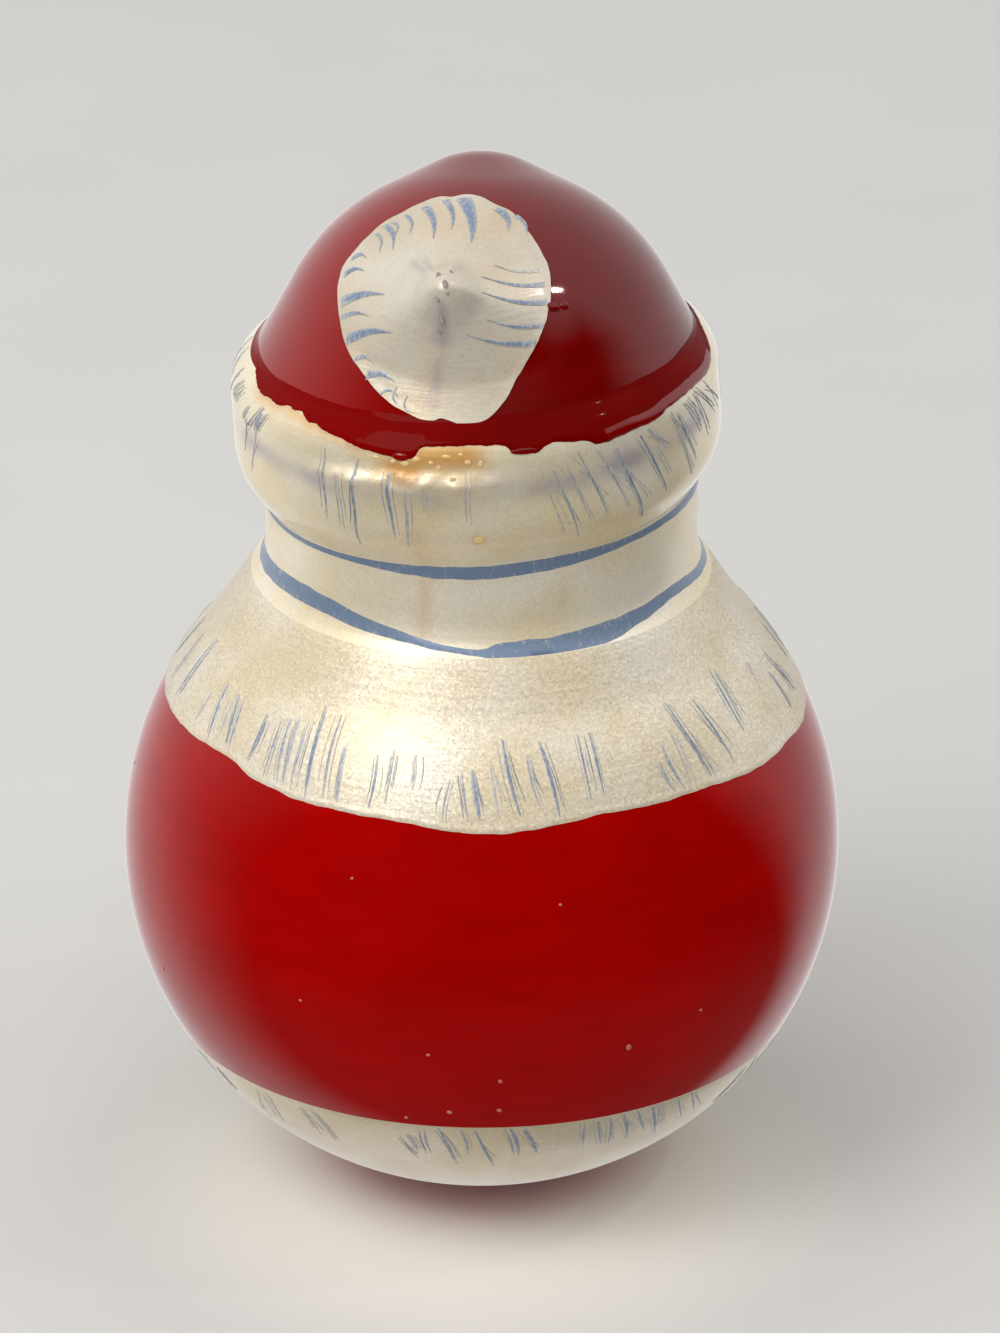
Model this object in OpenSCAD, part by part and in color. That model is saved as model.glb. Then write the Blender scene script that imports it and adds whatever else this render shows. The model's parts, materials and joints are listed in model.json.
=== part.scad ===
// Turned wooden roly-poly figure with a chime inside. Millimetres, +Z up,
// the floor at z = 0 under the round base, and the figure's back towards +Y.

/* [Body] */
// Widest diameter of the body, at its girth
body_d = 85; // [70:0.5:100]
// How much flatter the rolling base is than the girth: base radius less girth radius
roll_flat = 2.5; // [1.5:0.1:4]
// How far the girth sits below one girth radius above the floor
base_flat = 1.3; // [0.2:0.1:2.5]
// Diameter of the sanded flat under the base, where it was parted off the lathe
foot_d = 5; // [3:0.1:8]
// Wall of the hollow body
wall = 6; // [4:0.1:8]
// Latitude below the girth of the glued joint between base and body, where the white hem ends
hem_angle = 29.3; // [24:0.1:35]
// Latitude at which the round body turns into the slope of the shoulder
shoulder_angle = 43; // [38:0.5:48]
// Height of the shoulder's slope, from the round body up to the head
shoulder_rise = 6.4; // [4:0.1:10]
// Thickness of the body's crown, which takes the head's tenon
crown_t = 8.5; // [7:0.1:13]

/* [Base joint] */
// Wall of the base under the weight
base_wall = 7; // [6:0.1:9]
// Height of the base's tongue above the joint
tongue_h = 2.5; // [2:0.1:5]
// Land left between the tongue and the outside of the joint
rim_land = 3.6; // [2.5:0.1:4.5]
// Lip of the body that holds the sound board down: its width
lip_w = 3.5; // [2:0.1:5]
// Lip of the body that holds the sound board down: its thickness
lip_t = 3; // [2:0.1:5]

/* [Head] */
// Diameter of the head below the brim
neck_d = 50.8; // [44:0.2:56]
// How far the foot of the head flares out
neck_flare = 1.7; // [0.4:0.1:2.5]
// Height of the flare at the foot of the head
flare_h = 4.4; // [2:0.1:6]
// Height of the head below the brim
neck_h = 11.1; // [8:0.1:14]
// Widest diameter of the brim
brim_d = 57; // [54:0.1:62]
// Height from the brim's lower edge to the seat of the hat in it
brim_h = 16.7; // [12:0.1:20]
// Height from the brim's lower edge up to its widest place
brim_low_h = 7; // [5:0.1:9]
// Rounding of the brim's lower half
brim_low_round = 8; // [5:0.1:10]
// Rounding of the brim's upper half
brim_top_round = 5.2; // [4:0.1:7]
// Height of the brim's straight side between the two
brim_side = 6.3; // [4:0.1:8]
// Tilt of the brim on the head, up on its -X side
brim_tilt = 3.4; // [0:0.1:5]
// Diameter of the tenon that joins the head to the body
tenon_d = 26; // [20:0.2:32]

/* [Hat] */
// Diameter of the hat's round crown
hat_d = 50.2; // [44:0.2:54]
// How far the centre of the crown lies below the top of the brim
hat_sink = 3.8; // [1:0.1:6]
// Diameter of the hat where it is glued on the brim
hat_foot_d = 52; // [50:0.2:54]
// Thickness of the hat's foot
hat_foot_t = 0.6; // [0.4:0.1:1.5]
// Reach of the hat's peak from the centre of the crown
peak_reach = 26.4; // [25.5:0.1:29]
// Diameter of the peak's rounding
peak_d = 24.6; // [16:0.2:34]
// Angle of the peak from upright, towards the front
peak_lean = 25.5; // [10:0.5:35]
// Reach of the drooping tip from the centre of the crown
tip_reach = 28.7; // [27:0.1:31]
// Diameter of the tip's rounding
tip_d = 3; // [2:0.1:6]
// Angle of the tip from upright, towards the back
tip_lean = 47.5; // [30:0.5:60]
// Angle of the tip from straight back, towards +X
tip_turn = 11; // [-20:1:20]
// Diameter of the dowel between head and hat
dowel_d = 8; // [6:0.2:12]
// Depth of the dowel in each of the two pieces
dowel_depth = 9; // [6:0.2:12]

/* [Weight] */
// How far the top of the weight lies below the joint of the base
ballast_drop = 0.6; // [0.2:0.1:4]
// Diameter of the weight's screw
ballast_screw_d = 3.6; // [3:0.1:5]
// Depth of the screw in the base
screw_bite = 5; // [4:0.1:5.5]
// Diameter of the screw's head
screw_head_d = 7.2; // [6:0.1:9]
// Height of the screw's head
screw_head_h = 2.4; // [1.8:0.1:3]
// Depth of the counterbore that sinks the screw's head
counterbore_depth = 4; // [3.6:0.1:6]
// Diameter of the washer
washer_d = 11; // [10:0.2:14]
// Thickness of the washer
washer_t = 0.8; // [0.5:0.1:1.2]

/* [Chime] */
// Thickness of the sound board
board_t = 2; // [1.5:0.1:4]
// Diameter of the holes in the sound board
sound_hole_d = 8; // [5:0.2:10]
// Diameter of the plate that holds the rods
plate_d = 38; // [36:0.5:39]
// Thickness of that plate
plate_t = 3; // [2.5:0.1:6]
// Diameter of a rod
rod_d = 2; // [1.6:0.1:2.4]
// Distance from the middle of a rod to the plate's edge
rod_edge = 4; // [2.5:0.1:5]
// Space between the end of the longest rod and the body's crown
rod_clear = 5; // [3:0.1:12]
// How much shorter each next rod is
rod_step = 3; // [1:0.1:3.5]
// Diameter of the plate's bolt
bolt_d = 3; // [2.5:0.1:4]
// Diameter of the bolt's sunk head
bolt_head_d = 6; // [5:0.1:8]
// Thickness of the bolt's nut
nut_t = 2.4; // [1.8:0.1:3]
// Width of the nut across its corners
nut_corners = 6.4; // [5.8:0.1:8]

/* [Clapper] */
// Wire of the screw eye
eye_wire_d = 1.6; // [1.2:0.1:2]
// Diameter of the screw eye's ring, to the middle of its wire
eye_ring_d = 6.2; // [5:0.1:9]
// Length of the screw eye's thread in the head
eye_bite = 10; // [6:0.2:14]
// Diameter of the screw eye's thread
eye_thread_d = 2.6; // [2.2:0.1:3.2]
// Bare neck between the head and the screw eye's ring
eye_neck = 0.5; // [0.2:0.1:1]
// Wire of the link ring
link_wire_d = 1.2; // [1:0.1:1.6]
// Diameter of the link ring, to the middle of its wire
link_d = 6; // [5:0.1:8]
// Wire of the clapper
clapper_wire_d = 1.2; // [1:0.1:1.6]
// Diameter of the eye at the clapper's top, to the middle of its wire
clapper_eye_d = 5; // [4:0.1:6.6]
// Diameter of the clapper's ball
ball_d = 13; // [10:0.2:15.4]
// Space between the ball and the plate below it
ball_clear = 1.5; // [1:0.1:4]

/* [Fits] */
// Gap round glued and pressed joints
glue_gap = 0.05; // [0.02:0.01:0.1]
// Gap between the weight and its seat
seat_gap = 0.1; // [0.05:0.01:0.3]
// Gap between a bolt or screw and its clearance hole
screw_gap = 0.2; // [0.1:0.05:0.4]
// Gap between the sound board and its recess
board_gap = 0.15; // [0.1:0.05:0.4]
// Gap between rings that hang in one another
link_gap = 0.1; // [0.05:0.01:0.2]

/* [Hidden] */
$fn = 96;
rod_count = 6;
hat_fn = 48;
arc_steps = 20;
cut = 0.5;

// Round body: a rolling arc under a rounder side arc, tangent to each other,
// and a sphere above the girth
girth_r = body_d / 2;
girth_z = girth_r - base_flat;
roll_r = girth_r + roll_flat;
roll_z = sqrt(pow(roll_r, 2) - pow(foot_d / 2, 2));
roll_over_girth = roll_z - girth_z;
side_x = (pow(roll_over_girth, 2) - pow(roll_flat, 2)) / (2 * roll_flat);
side_r = girth_r - side_x;
roll_end = atan2(-roll_over_girth, side_x);

function arc(x, z, r, from, to) =
    [for (i = [0:arc_steps]) let (a = from + (to - from) * i / arc_steps) [x + r * cos(a), z + r * sin(a)]];
// Angle on the side arc, inset by a wall, at a height
function side_angle(z, inset) = asin((z - girth_z) / (side_r - inset));
function side_radius(z, inset) = side_x + (side_r - inset) * cos(side_angle(z, inset));

// Joint of base and body
hem_z = girth_z - side_r * sin(hem_angle);
hem_r = side_radius(hem_z, 0);
tongue_r = hem_r - rim_land;
tongue_top = hem_z + tongue_h;
recess_r = tongue_r + glue_gap;
recess_top = tongue_top + board_t + glue_gap;
throat_r = recess_r - lip_w;
lip_top = recess_top + lip_t;

// Seat of the weight
bowl_r = roll_r - base_wall;
bowl_hem_r = sqrt(pow(bowl_r, 2) - pow(roll_z - hem_z, 2));
ballast_r = bowl_r - seat_gap;
ballast_top = hem_z - ballast_drop;
ballast_hole_d = ballast_screw_d + 2 * screw_gap;
washer_z = ballast_top - counterbore_depth;
screw_head_z = washer_z + washer_t;
screw_tip_z = roll_z - bowl_r - screw_bite;

// Shoulder, crown and hollow
shoulder_z = girth_z + girth_r * sin(shoulder_angle);
crease_z = shoulder_z + shoulder_rise;
crease_r = neck_d / 2 + neck_flare;
hollow_r = girth_r - wall;
hollow_top = crease_z - crown_t;
hollow_top_angle = asin((hollow_top - girth_z) / hollow_r);

// Head and brim, with a hollow curve at the foot that leaves the crease at an angle
neck_r = neck_d / 2;
cove_from = 30;
cove = [for (i = [0:arc_steps]) let (a = cove_from + (90 - cove_from) * i / arc_steps)
    [neck_r + neck_flare * (1 - sin(a)) / (1 - sin(cove_from)),
     crease_z + flare_h * (1 - cos(a) / cos(cove_from))]];
brim_z = crease_z + neck_h;
brim_top = brim_z + brim_h;
brim_r = brim_d / 2;
brim_low_z = brim_z + brim_low_h;
brim_low = arc(brim_r - brim_low_round, brim_low_z, brim_low_round, -36, 0);
brim_round = arc(brim_r - brim_top_round, brim_low_z + brim_side, brim_top_round, 0, 75);
// The brim's lower slope runs on through its lower edge into the head
brim_in = 2.5 * [neck_r, brim_z] - 1.5 * brim_low[0];

// Hat, and its seat in the brim as wide as the hat's widest place
hat_z = brim_top - hat_sink;
hat_seat_d = max(hat_foot_d, hat_d) + 2 * glue_gap;
function lean(angle, turn, reach) =
    [reach * sin(angle) * sin(turn), reach * sin(angle) * cos(turn), hat_z + reach * cos(angle)];

// Chime
board_z = tongue_top;
plate_z = board_z + board_t;
rods_z = plate_z + plate_t;
rod_circle_d = plate_d - 2 * rod_edge;
rod_long = hollow_top - rods_z - rod_clear;
bolt_hole_d = bolt_d + 2 * screw_gap;
sound_hole_ring = (plate_d / 2 + throat_r) / 2;

// Clapper: each ring hangs on the lower wire of the one above
eye_z = hollow_top - eye_neck - (eye_ring_d + eye_wire_d) / 2;
link_pivot_z = eye_z - eye_ring_d / 2;
link_z = link_pivot_z + (eye_wire_d + link_wire_d) / 2 + link_gap - link_d / 2;
clapper_pivot_z = link_z - link_d / 2;
clapper_eye_z = clapper_pivot_z + (link_wire_d + clapper_wire_d) / 2 + link_gap - clapper_eye_d / 2;
ball_z = rods_z + ball_clear + ball_d / 2;
stem_len = clapper_eye_z - clapper_eye_d / 2 - ball_z;

// Shapes that repeat

module turned(points) {
    rotate_extrude() polygon(points);
}

module rod(d, z, h) {
    translate([0, 0, z]) cylinder(d = d, h = h);
}

module ring(d, wire) {
    rotate_extrude() translate([d / 2, 0]) circle(d = wire, $fn = 32);
}

// A ring that stands upright, with its axis along Y, or along X when turned
module upright_ring(d, wire, z, turn = 0) {
    translate([0, 0, z]) rotate([0, 0, turn]) rotate([90, 0, 0]) ring(d, wire);
}

// Sub-parts

module base_cap() {
    color("#d6cab2") difference() {
        turned(concat(
            [[0, 0]],
            arc(0, roll_z, roll_r, -acos(foot_d / 2 / roll_r), roll_end),
            arc(side_x, girth_z, side_r, roll_end, side_angle(hem_z, 0)),
            [[tongue_r, hem_z], [tongue_r, tongue_top], [bowl_hem_r, tongue_top]],
            arc(0, roll_z, bowl_r, -acos(bowl_hem_r / bowl_r), -90)));
        rod(ballast_screw_d + 2 * glue_gap, screw_tip_z - glue_gap, roll_r);
    }
}

module ballast() {
    color("#4a4b4d") difference() {
        turned(concat(
            arc(0, roll_z, ballast_r, -90, -asin((roll_z - ballast_top) / ballast_r)),
            [[0, ballast_top]]));
        rod(ballast_hole_d, 0, roll_r);
        rod(washer_d + 2 * screw_gap, washer_z, counterbore_depth + cut);
    }
}

module ballast_washer() {
    color("#b9bcc0") difference() {
        rod(washer_d, washer_z, washer_t);
        rod(ballast_hole_d, washer_z - cut, washer_t + 2 * cut);
    }
}

module ballast_screw() {
    tip_h = ballast_screw_d;
    slot_w = screw_head_d / 7;
    color("#c4c6c8") difference() {
        union() {
            rod(screw_head_d, screw_head_z, screw_head_h);
            rod(ballast_screw_d, screw_tip_z + tip_h, screw_head_z - screw_tip_z - tip_h + cut);
            translate([0, 0, screw_tip_z]) cylinder(d1 = ballast_screw_d / 4, d2 = ballast_screw_d, h = tip_h);
        }
        translate([-screw_head_d, -slot_w / 2, screw_head_z + screw_head_h / 2])
            cube([2 * screw_head_d, slot_w, screw_head_h]);
    }
}

module body_shell() {
    color("#8e0d0c") turned(concat(
        arc(side_x, girth_z, side_r, side_angle(hem_z, 0), 0),
        arc(0, girth_z, girth_r, 0, shoulder_angle),
        [[crease_r, crease_z], [tenon_d / 2 + glue_gap, crease_z], [tenon_d / 2 + glue_gap, hollow_top]],
        arc(0, girth_z, hollow_r, hollow_top_angle, 0),
        arc(side_x, girth_z, side_r - wall, 0, side_angle(lip_top, wall)),
        [[throat_r, lip_top], [throat_r, recess_top], [recess_r, recess_top], [recess_r, hem_z]]));
}

module sound_board() {
    color("#d8bd8c") difference() {
        rod(2 * (recess_r - board_gap), board_z, board_t);
        rod(bolt_hole_d, board_z - cut, board_t + 2 * cut);
        for (a = [90, 210, 330])
            rotate(a) translate([sound_hole_ring, 0]) rod(sound_hole_d, board_z - cut, board_t + 2 * cut);
    }
}

module chime_plate() {
    color("#c9a24a") difference() {
        rod(plate_d, plate_z, plate_t);
        rod(bolt_hole_d, plate_z - cut, plate_t + 2 * cut);
        sunk_head(screw_gap);
        for (i = [1:rod_count])
            at_rod(i) rod(rod_d + 2 * glue_gap, plate_z - cut, plate_t + 2 * cut);
    }
}

module at_rod(i) {
    rotate(360 * (i - 1) / rod_count) translate([rod_circle_d / 2, 0]) children();
}

module sunk_head(gap) {
    sunk_h = (bolt_head_d - bolt_d) / 2;
    translate([0, 0, rods_z - sunk_h])
        cylinder(d1 = bolt_d + 2 * gap, d2 = bolt_head_d + 2 * gap, h = sunk_h);
}

module chime_bolt() {
    end_z = board_z - nut_t - cut;
    color("#c4c6c8") union() {
        sunk_head(0);
        rod(bolt_d, end_z, rods_z - end_z - cut);
    }
}

module chime_nut() {
    color("#b9bcc0") difference() {
        translate([0, 0, board_z - nut_t]) cylinder(d = nut_corners, h = nut_t, $fn = 6);
        rod(bolt_d + 2 * glue_gap, board_z - nut_t - cut, nut_t + 2 * cut);
    }
}

module chime_rod(i) {
    color("#c9ccd0") at_rod(i) rod(rod_d, plate_z, plate_t + rod_long - rod_step * (i - 1));
}

module head() {
    color("#d6cab2") difference() {
        union() {
            turned(concat(
                [[0, hollow_top], [tenon_d / 2, hollow_top], [tenon_d / 2, crease_z]],
                cove,
                [[neck_r, brim_low_z], [0, brim_low_z]]));
            translate([0, 0, brim_z]) rotate([0, brim_tilt, 0]) translate([0, 0, -brim_z])
                turned(concat([[0, brim_in[1]], brim_in], brim_low, brim_round, [[0, brim_round[arc_steps][1]]]));
        }
        rod(hat_seat_d, brim_top, brim_h);
        rod(eye_thread_d + 2 * glue_gap, hollow_top - cut, eye_bite + cut);
        rod(dowel_d + 2 * glue_gap, brim_top - dowel_depth, dowel_depth + cut);
    }
}

module hat_dowel() {
    color("#d8bd8c") rod(dowel_d, brim_top - dowel_depth + glue_gap, 2 * (dowel_depth - glue_gap));
}

module above_brim() {
    intersection() {
        children();
        rod(2 * body_d, brim_top, body_d);
    }
}

module hat() {
    peak = lean(-peak_lean, 0, peak_reach - peak_d / 2);
    tip = lean(tip_lean, tip_turn, tip_reach - tip_d / 2);
    color("#7c0b0a") difference() {
        hull() {
            rod(hat_foot_d, brim_top, hat_foot_t, $fn = hat_fn);
            above_brim() translate([0, 0, hat_z]) sphere(d = hat_d, $fn = hat_fn);
            above_brim() translate(peak) sphere(d = peak_d, $fn = hat_fn);
            above_brim() translate(tip) sphere(d = tip_d, $fn = hat_fn / 2);
        }
        rod(dowel_d + 2 * glue_gap, brim_top - cut, dowel_depth + cut);
    }
}

module screw_eye() {
    color("#b9bcc0") union() {
        upright_ring(eye_ring_d, eye_wire_d, eye_z);
        rod(eye_thread_d, eye_z + eye_ring_d / 2, hollow_top + eye_bite - cut - eye_z - eye_ring_d / 2);
    }
}

module link_ring() {
    color("#b9bcc0") upright_ring(link_d, link_wire_d, link_z, turn = 90);
}

module clapper_wire() {
    color("#b9bcc0") union() {
        upright_ring(clapper_eye_d, clapper_wire_d, clapper_eye_z);
        rod(clapper_wire_d, ball_z, stem_len);
    }
}

module clapper_ball() {
    color("#c9a24a") difference() {
        translate([0, 0, ball_z]) sphere(d = ball_d);
        rod(clapper_wire_d + 2 * glue_gap, ball_z - glue_gap, ball_d);
    }
}

base_cap();
ballast();
ballast_washer();
ballast_screw();
body_shell();
sound_board();
chime_plate();
chime_bolt();
chime_nut();
for (i = [1:rod_count]) chime_rod(i);
head();
screw_eye();
link_ring();
clapper_wire();
clapper_ball();
hat_dowel();
hat();
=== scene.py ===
import bisect
import json
import random
from math import acos, asin, atan2, cos, degrees, dist, exp, pi, radians, sin, sqrt, tau

import bmesh
import bpy
from mathutils import Matrix, Vector, noise


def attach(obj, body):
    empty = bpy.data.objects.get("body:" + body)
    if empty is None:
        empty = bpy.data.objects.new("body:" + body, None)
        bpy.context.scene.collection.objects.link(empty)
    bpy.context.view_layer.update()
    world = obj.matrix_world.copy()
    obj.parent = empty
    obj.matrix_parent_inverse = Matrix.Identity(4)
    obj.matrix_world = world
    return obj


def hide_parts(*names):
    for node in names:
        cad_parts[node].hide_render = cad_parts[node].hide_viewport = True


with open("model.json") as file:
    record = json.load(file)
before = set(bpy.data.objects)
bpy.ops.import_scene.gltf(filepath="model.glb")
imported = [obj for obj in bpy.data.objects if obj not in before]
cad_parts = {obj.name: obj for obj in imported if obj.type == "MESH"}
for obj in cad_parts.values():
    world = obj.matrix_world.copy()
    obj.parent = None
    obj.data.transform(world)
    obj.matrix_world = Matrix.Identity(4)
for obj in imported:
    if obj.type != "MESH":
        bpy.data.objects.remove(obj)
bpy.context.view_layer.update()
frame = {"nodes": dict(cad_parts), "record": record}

mm = 0.001  # sizes below are in millimetres, Blender works in metres
scene = bpy.context.scene
scene.view_settings.view_transform = "Standard"
print("frame loaded:", len(frame["nodes"]), "nodes")

# Camera at the photograph's angle, about 25 degrees above the toy's back
shot = {"place": (0.0, 1.0759, 0.5544), "aim": (-0.0022, -0.00865, 0.05933), "lens": 270.07}
camera = bpy.data.objects.new("shotCamera", bpy.data.cameras.new("shotCamera"))
scene.collection.objects.link(camera)
camera.location = shot["place"]
camera.rotation_euler = (Vector(shot["aim"]) - Vector(shot["place"])).to_track_quat("-Z", "Y").to_euler()
camera.data.lens = shot["lens"]
camera.data.sensor_width = 36
scene.camera = camera


# Shared tools

def linear(colour):  # sRGB hex to the linear values that sockets take
    parts = [int(colour[i:i + 2], 16) / 255 for i in (1, 3, 5)]
    return [c / 12.92 if c <= 0.04045 else ((c + 0.055) / 1.055) ** 2.4 for c in parts] + [1.0]


def fill(tree, node, settings):  # a socket is linked, any other value is set
    for key, value in settings.items():
        if isinstance(value, bpy.types.NodeSocket):
            tree.links.new(value, node.inputs[key])
        elif isinstance(key, int) or key in node.inputs:
            node.inputs[key].default_value = value
        else:
            setattr(node, key, value)


def addNode(tree, kind, settings):
    node = tree.nodes.new("ShaderNode" + kind)
    fill(tree, node, settings)
    return node.outputs


def newFinish(name):
    material = bpy.data.materials.new(name)
    material.use_nodes = True
    tree = material.node_tree
    place = addNode(tree, "TexCoord", {})["Object"]
    return material, tree, tree.nodes["Principled BSDF"], place


def arcPoints(x, z, radius, start, end, steps):
    turns = [radians(start + (end - start) * i / steps) for i in range(steps + 1)]
    return [(x + radius * cos(a), z + radius * sin(a)) for a in turns]


def straight(a, b, steps):
    return [(a[0] + (b[0] - a[0]) * i / steps, a[1] + (b[1] - a[1]) * i / steps) for i in range(1, steps)]


def around(bearing, r, z):  # bearing in degrees from the toy's back towards its +X side
    a = radians(bearing)
    return Vector((r * sin(a) * mm, r * cos(a) * mm, z * mm))


def measured(points, place=around):  # a profile, the length along it at each point, and what places it
    along = [0.0]
    for a, b in zip(points, points[1:]):
        along.append(along[-1] + dist(a, b))
    return {"points": points, "along": along, "length": along[-1], "place": place}


def eased(points, start, end, rounds):  # rounds off the corners of a profile between two heights
    for _ in range(rounds):
        points = [points[0]] + [
            ((a[0] + 2 * b[0] + c[0]) / 4, (a[1] + 2 * b[1] + c[1]) / 4) if start < b[1] < end else b
            for a, b, c in zip(points, points[1:], points[2:])] + [points[-1]]
    return points


def placeOn(line, s):  # radius and height at a length along a profile, and the way out of the surface there
    along, points = line["along"], line["points"]
    i = min(max(bisect.bisect_right(along, s) - 1, 0), len(points) - 2)
    (r0, z0), (r1, z1) = points[i], points[i + 1]
    span = along[i + 1] - along[i]
    t = (s - along[i]) / span
    return r0 + (r1 - r0) * t, z0 + (z1 - z0) * t, (z1 - z0) / span, (r0 - r1) / span


def alongAt(line, z):  # length along a rising profile at a height
    heights = [p[1] for p in line["points"]]
    i = min(max(bisect.bisect_right(heights, z) - 1, 0), len(heights) - 2)
    t = (z - heights[i]) / (heights[i + 1] - heights[i])
    return line["along"][i] + t * (line["along"][i + 1] - line["along"][i])


def apart(turn, at=0):  # degrees from one bearing to another, -180 to 180
    return (turn - at + 180) % 360 - 180


def uneven(place, fine, seed):  # hand-made unevenness round the toy
    return noise.noise((place.x * fine, place.y * fine, seed))


def bearingOf(v):
    return degrees(atan2(v.co.x, v.co.y))


def closedCurve(points):  # smooth curve round the toy through (bearing, value) points
    pts = sorted((a % 360, v) for a, v in points)
    pts = [(a - 360, v) for a, v in pts[-2:]] + pts + [(a + 360, v) for a, v in pts[:3]]
    stops = [a for a, v in pts]

    def at(bearing):
        b = bearing % 360
        i = bisect.bisect_right(stops, b) - 1
        (a0, v0), (a1, v1), (a2, v2), (a3, v3) = pts[i - 1:i + 3]
        t = (b - a1) / (a2 - a1)
        m1 = (v2 - v0) / (a2 - a0) * (a2 - a1)
        m2 = (v3 - v1) / (a3 - a1) * (a2 - a1)
        return ((2 * t ** 3 - 3 * t ** 2 + 1) * v1 + (t ** 3 - 2 * t ** 2 + t) * m1
                + (3 * t ** 2 - 2 * t ** 3) * v2 + (t ** 3 - t ** 2) * m2)
    return at


def softStep(x, start, end):
    t = min(max((x - start) / (end - start), 0), 1)
    return t * t * (3 - 2 * t)


def between(x, a, b, c, d):  # rises from a to b and falls from c to d
    return softStep(x, a, b) - softStep(x, c, d)


def bell(x, at, wide):
    return exp(-((x - at) / wide) ** 2)


def onLine(line, b, s, lift, aside=0):  # a place on a turned surface, lifted off it and moved aside
    r, z, outR, outZ = placeOn(line, s)
    return line["place"](b + degrees(aside / r), r + outR * lift, z + outZ * lift)


def spun(rows, steps, closed):  # lathe turning: rows are (radius, height, length along the outer face or -1)
    bm = bmesh.new()
    row = bm.verts.layers.float.new("row")
    ring = []
    for r, z, s in rows:
        v = bm.verts.new((r * mm, 0, z * mm))
        v[row] = s
        ring.append(v)
    pairs = list(zip(ring, ring[1:])) + ([(ring[-1], ring[0])] if closed else [])
    edges = [bm.edges.new(p) for p in pairs]
    bmesh.ops.spin(bm, geom=ring + edges, cent=(0, 0, 0), axis=(0, 0, 1), angle=tau, steps=steps,
                   use_merge=True)
    bmesh.ops.remove_doubles(bm, verts=bm.verts, dist=1e-7)
    bmesh.ops.recalc_face_normals(bm, faces=bm.faces)
    return bm, row


def bandRows(line, edge, spec):  # rows along a profile, close together where one paint ends on another
    length, (below, above) = line["length"], spec["rows"]
    lower = [edge * i / below for i in range(below + 1)]
    lower[-1] -= spec["lip"]
    upper = [edge, edge + 0.25] + [edge + 0.6 + (length - edge - 0.6) * i / above for i in range(above + 1)]
    return [(*placeOn(line, s)[:2], s) for s in lower + upper]


def shiftBand(bm, row, line, edge, edgeAt, spec):  # the upper paint lies on the lower, up to an uneven edge
    length = line["length"]
    for v in bm.verts:
        s = v[row]
        if s < 0:
            continue
        b = bearingOf(v)
        e = edgeAt(b, v.co)
        if s < edge:
            s, lift = s * (e - spec["lip"]) / (edge - spec["lip"]), 0
        else:
            rim = 1 - softStep(s, edge, edge + 0.7)
            s, lift = e + (s - edge) * (length - e) / (length - edge), spec["film"] + spec["bead"] * rim
        lift *= 1 - softStep(s, length - spec["fade"], length)
        v.co = onLine(line, b, s, lift)


def finishPiece(bm, name, materials, slot, replaced=(), sharp=40):
    for face in bm.faces:
        face.smooth = True
    for edge in bm.edges:
        if len(edge.link_faces) == 2 and edge.calc_face_angle(0) > radians(sharp):
            edge.smooth = False
    mesh = bpy.data.meshes.new(name)
    bm.to_mesh(mesh)
    bm.free()
    piece = bpy.data.objects.new(name, mesh)
    scene.collection.objects.link(piece)
    for material in materials:
        mesh.materials.append(material)
    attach(piece, "toy")
    if replaced:
        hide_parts(*replaced)
    print("piece:", name, len(mesh.polygons), "faces")
    return piece


# Finishes

def redLacquer(name, deep, bright, bend, litSideTone=None):
    # gloss lacquer dipped over sanded lime: a clear deep film, uneven, thinner and brighter in places
    material, tree, shader, place = newFinish(name)
    cloud = addNode(tree, "TexNoise", {"Scale": 1 / (16 * mm), "Detail": 4.0, "Vector": place})[0]
    drawn = addNode(tree, "Mapping", {"Scale": (1.0, 1.0, 4.0), "Vector": place})[0]
    brushed = addNode(tree, "TexNoise", {"Scale": 1 / (9 * mm), "Detail": 3.0, "Vector": drawn})[0]
    both = addNode(tree, "Math", {"operation": "MULTIPLY", 0: cloud, 1: brushed})[0]
    share = addNode(tree, "MapRange", {"Value": both, "From Min": 0.12, "From Max": 0.4})[0]
    tone = addNode(tree, "Mix", {"data_type": "RGBA", 0: share, 6: linear(deep), 7: linear(bright)})[2]
    if litSideTone:  # painted light: the red is painted brighter towards the +X side, standing in for the light that falls on it there
        aside = addNode(tree, "SeparateXYZ", {0: place})["X"]
        share = addNode(tree, "MapRange", {
            "interpolation_type": "SMOOTHSTEP", "Value": aside, "From Min": -6 * mm, "From Max": 22 * mm})[0]
        tone = addNode(tree, "Mix", {"data_type": "RGBA", 0: share, 6: tone, 7: linear(litSideTone)})[2]
    peel = addNode(tree, "TexNoise", {"Scale": 1 / (3.2 * mm), "Detail": 1.0, "Vector": place})[0]
    specks = addNode(tree, "TexNoise", {"Scale": 1 / (0.5 * mm), "Detail": 0.0, "Vector": place})[0]
    height = addNode(tree, "Math", {"operation": "MULTIPLY_ADD", 0: specks, 1: 0.06, 2: peel})[0]
    bump = addNode(tree, "Bump", {"Strength": 0.35, "Distance": 0.03 * mm, "Height": height})[0]
    fill(tree, shader, {
        "Base Color": tone, "Roughness": 0.5, "Specular IOR Level": 0.0, "Coat Weight": 1.0,
        "Coat Roughness": 0.06, "Coat IOR": bend, "Normal": bump, "Coat Normal": bump})
    return material


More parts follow.
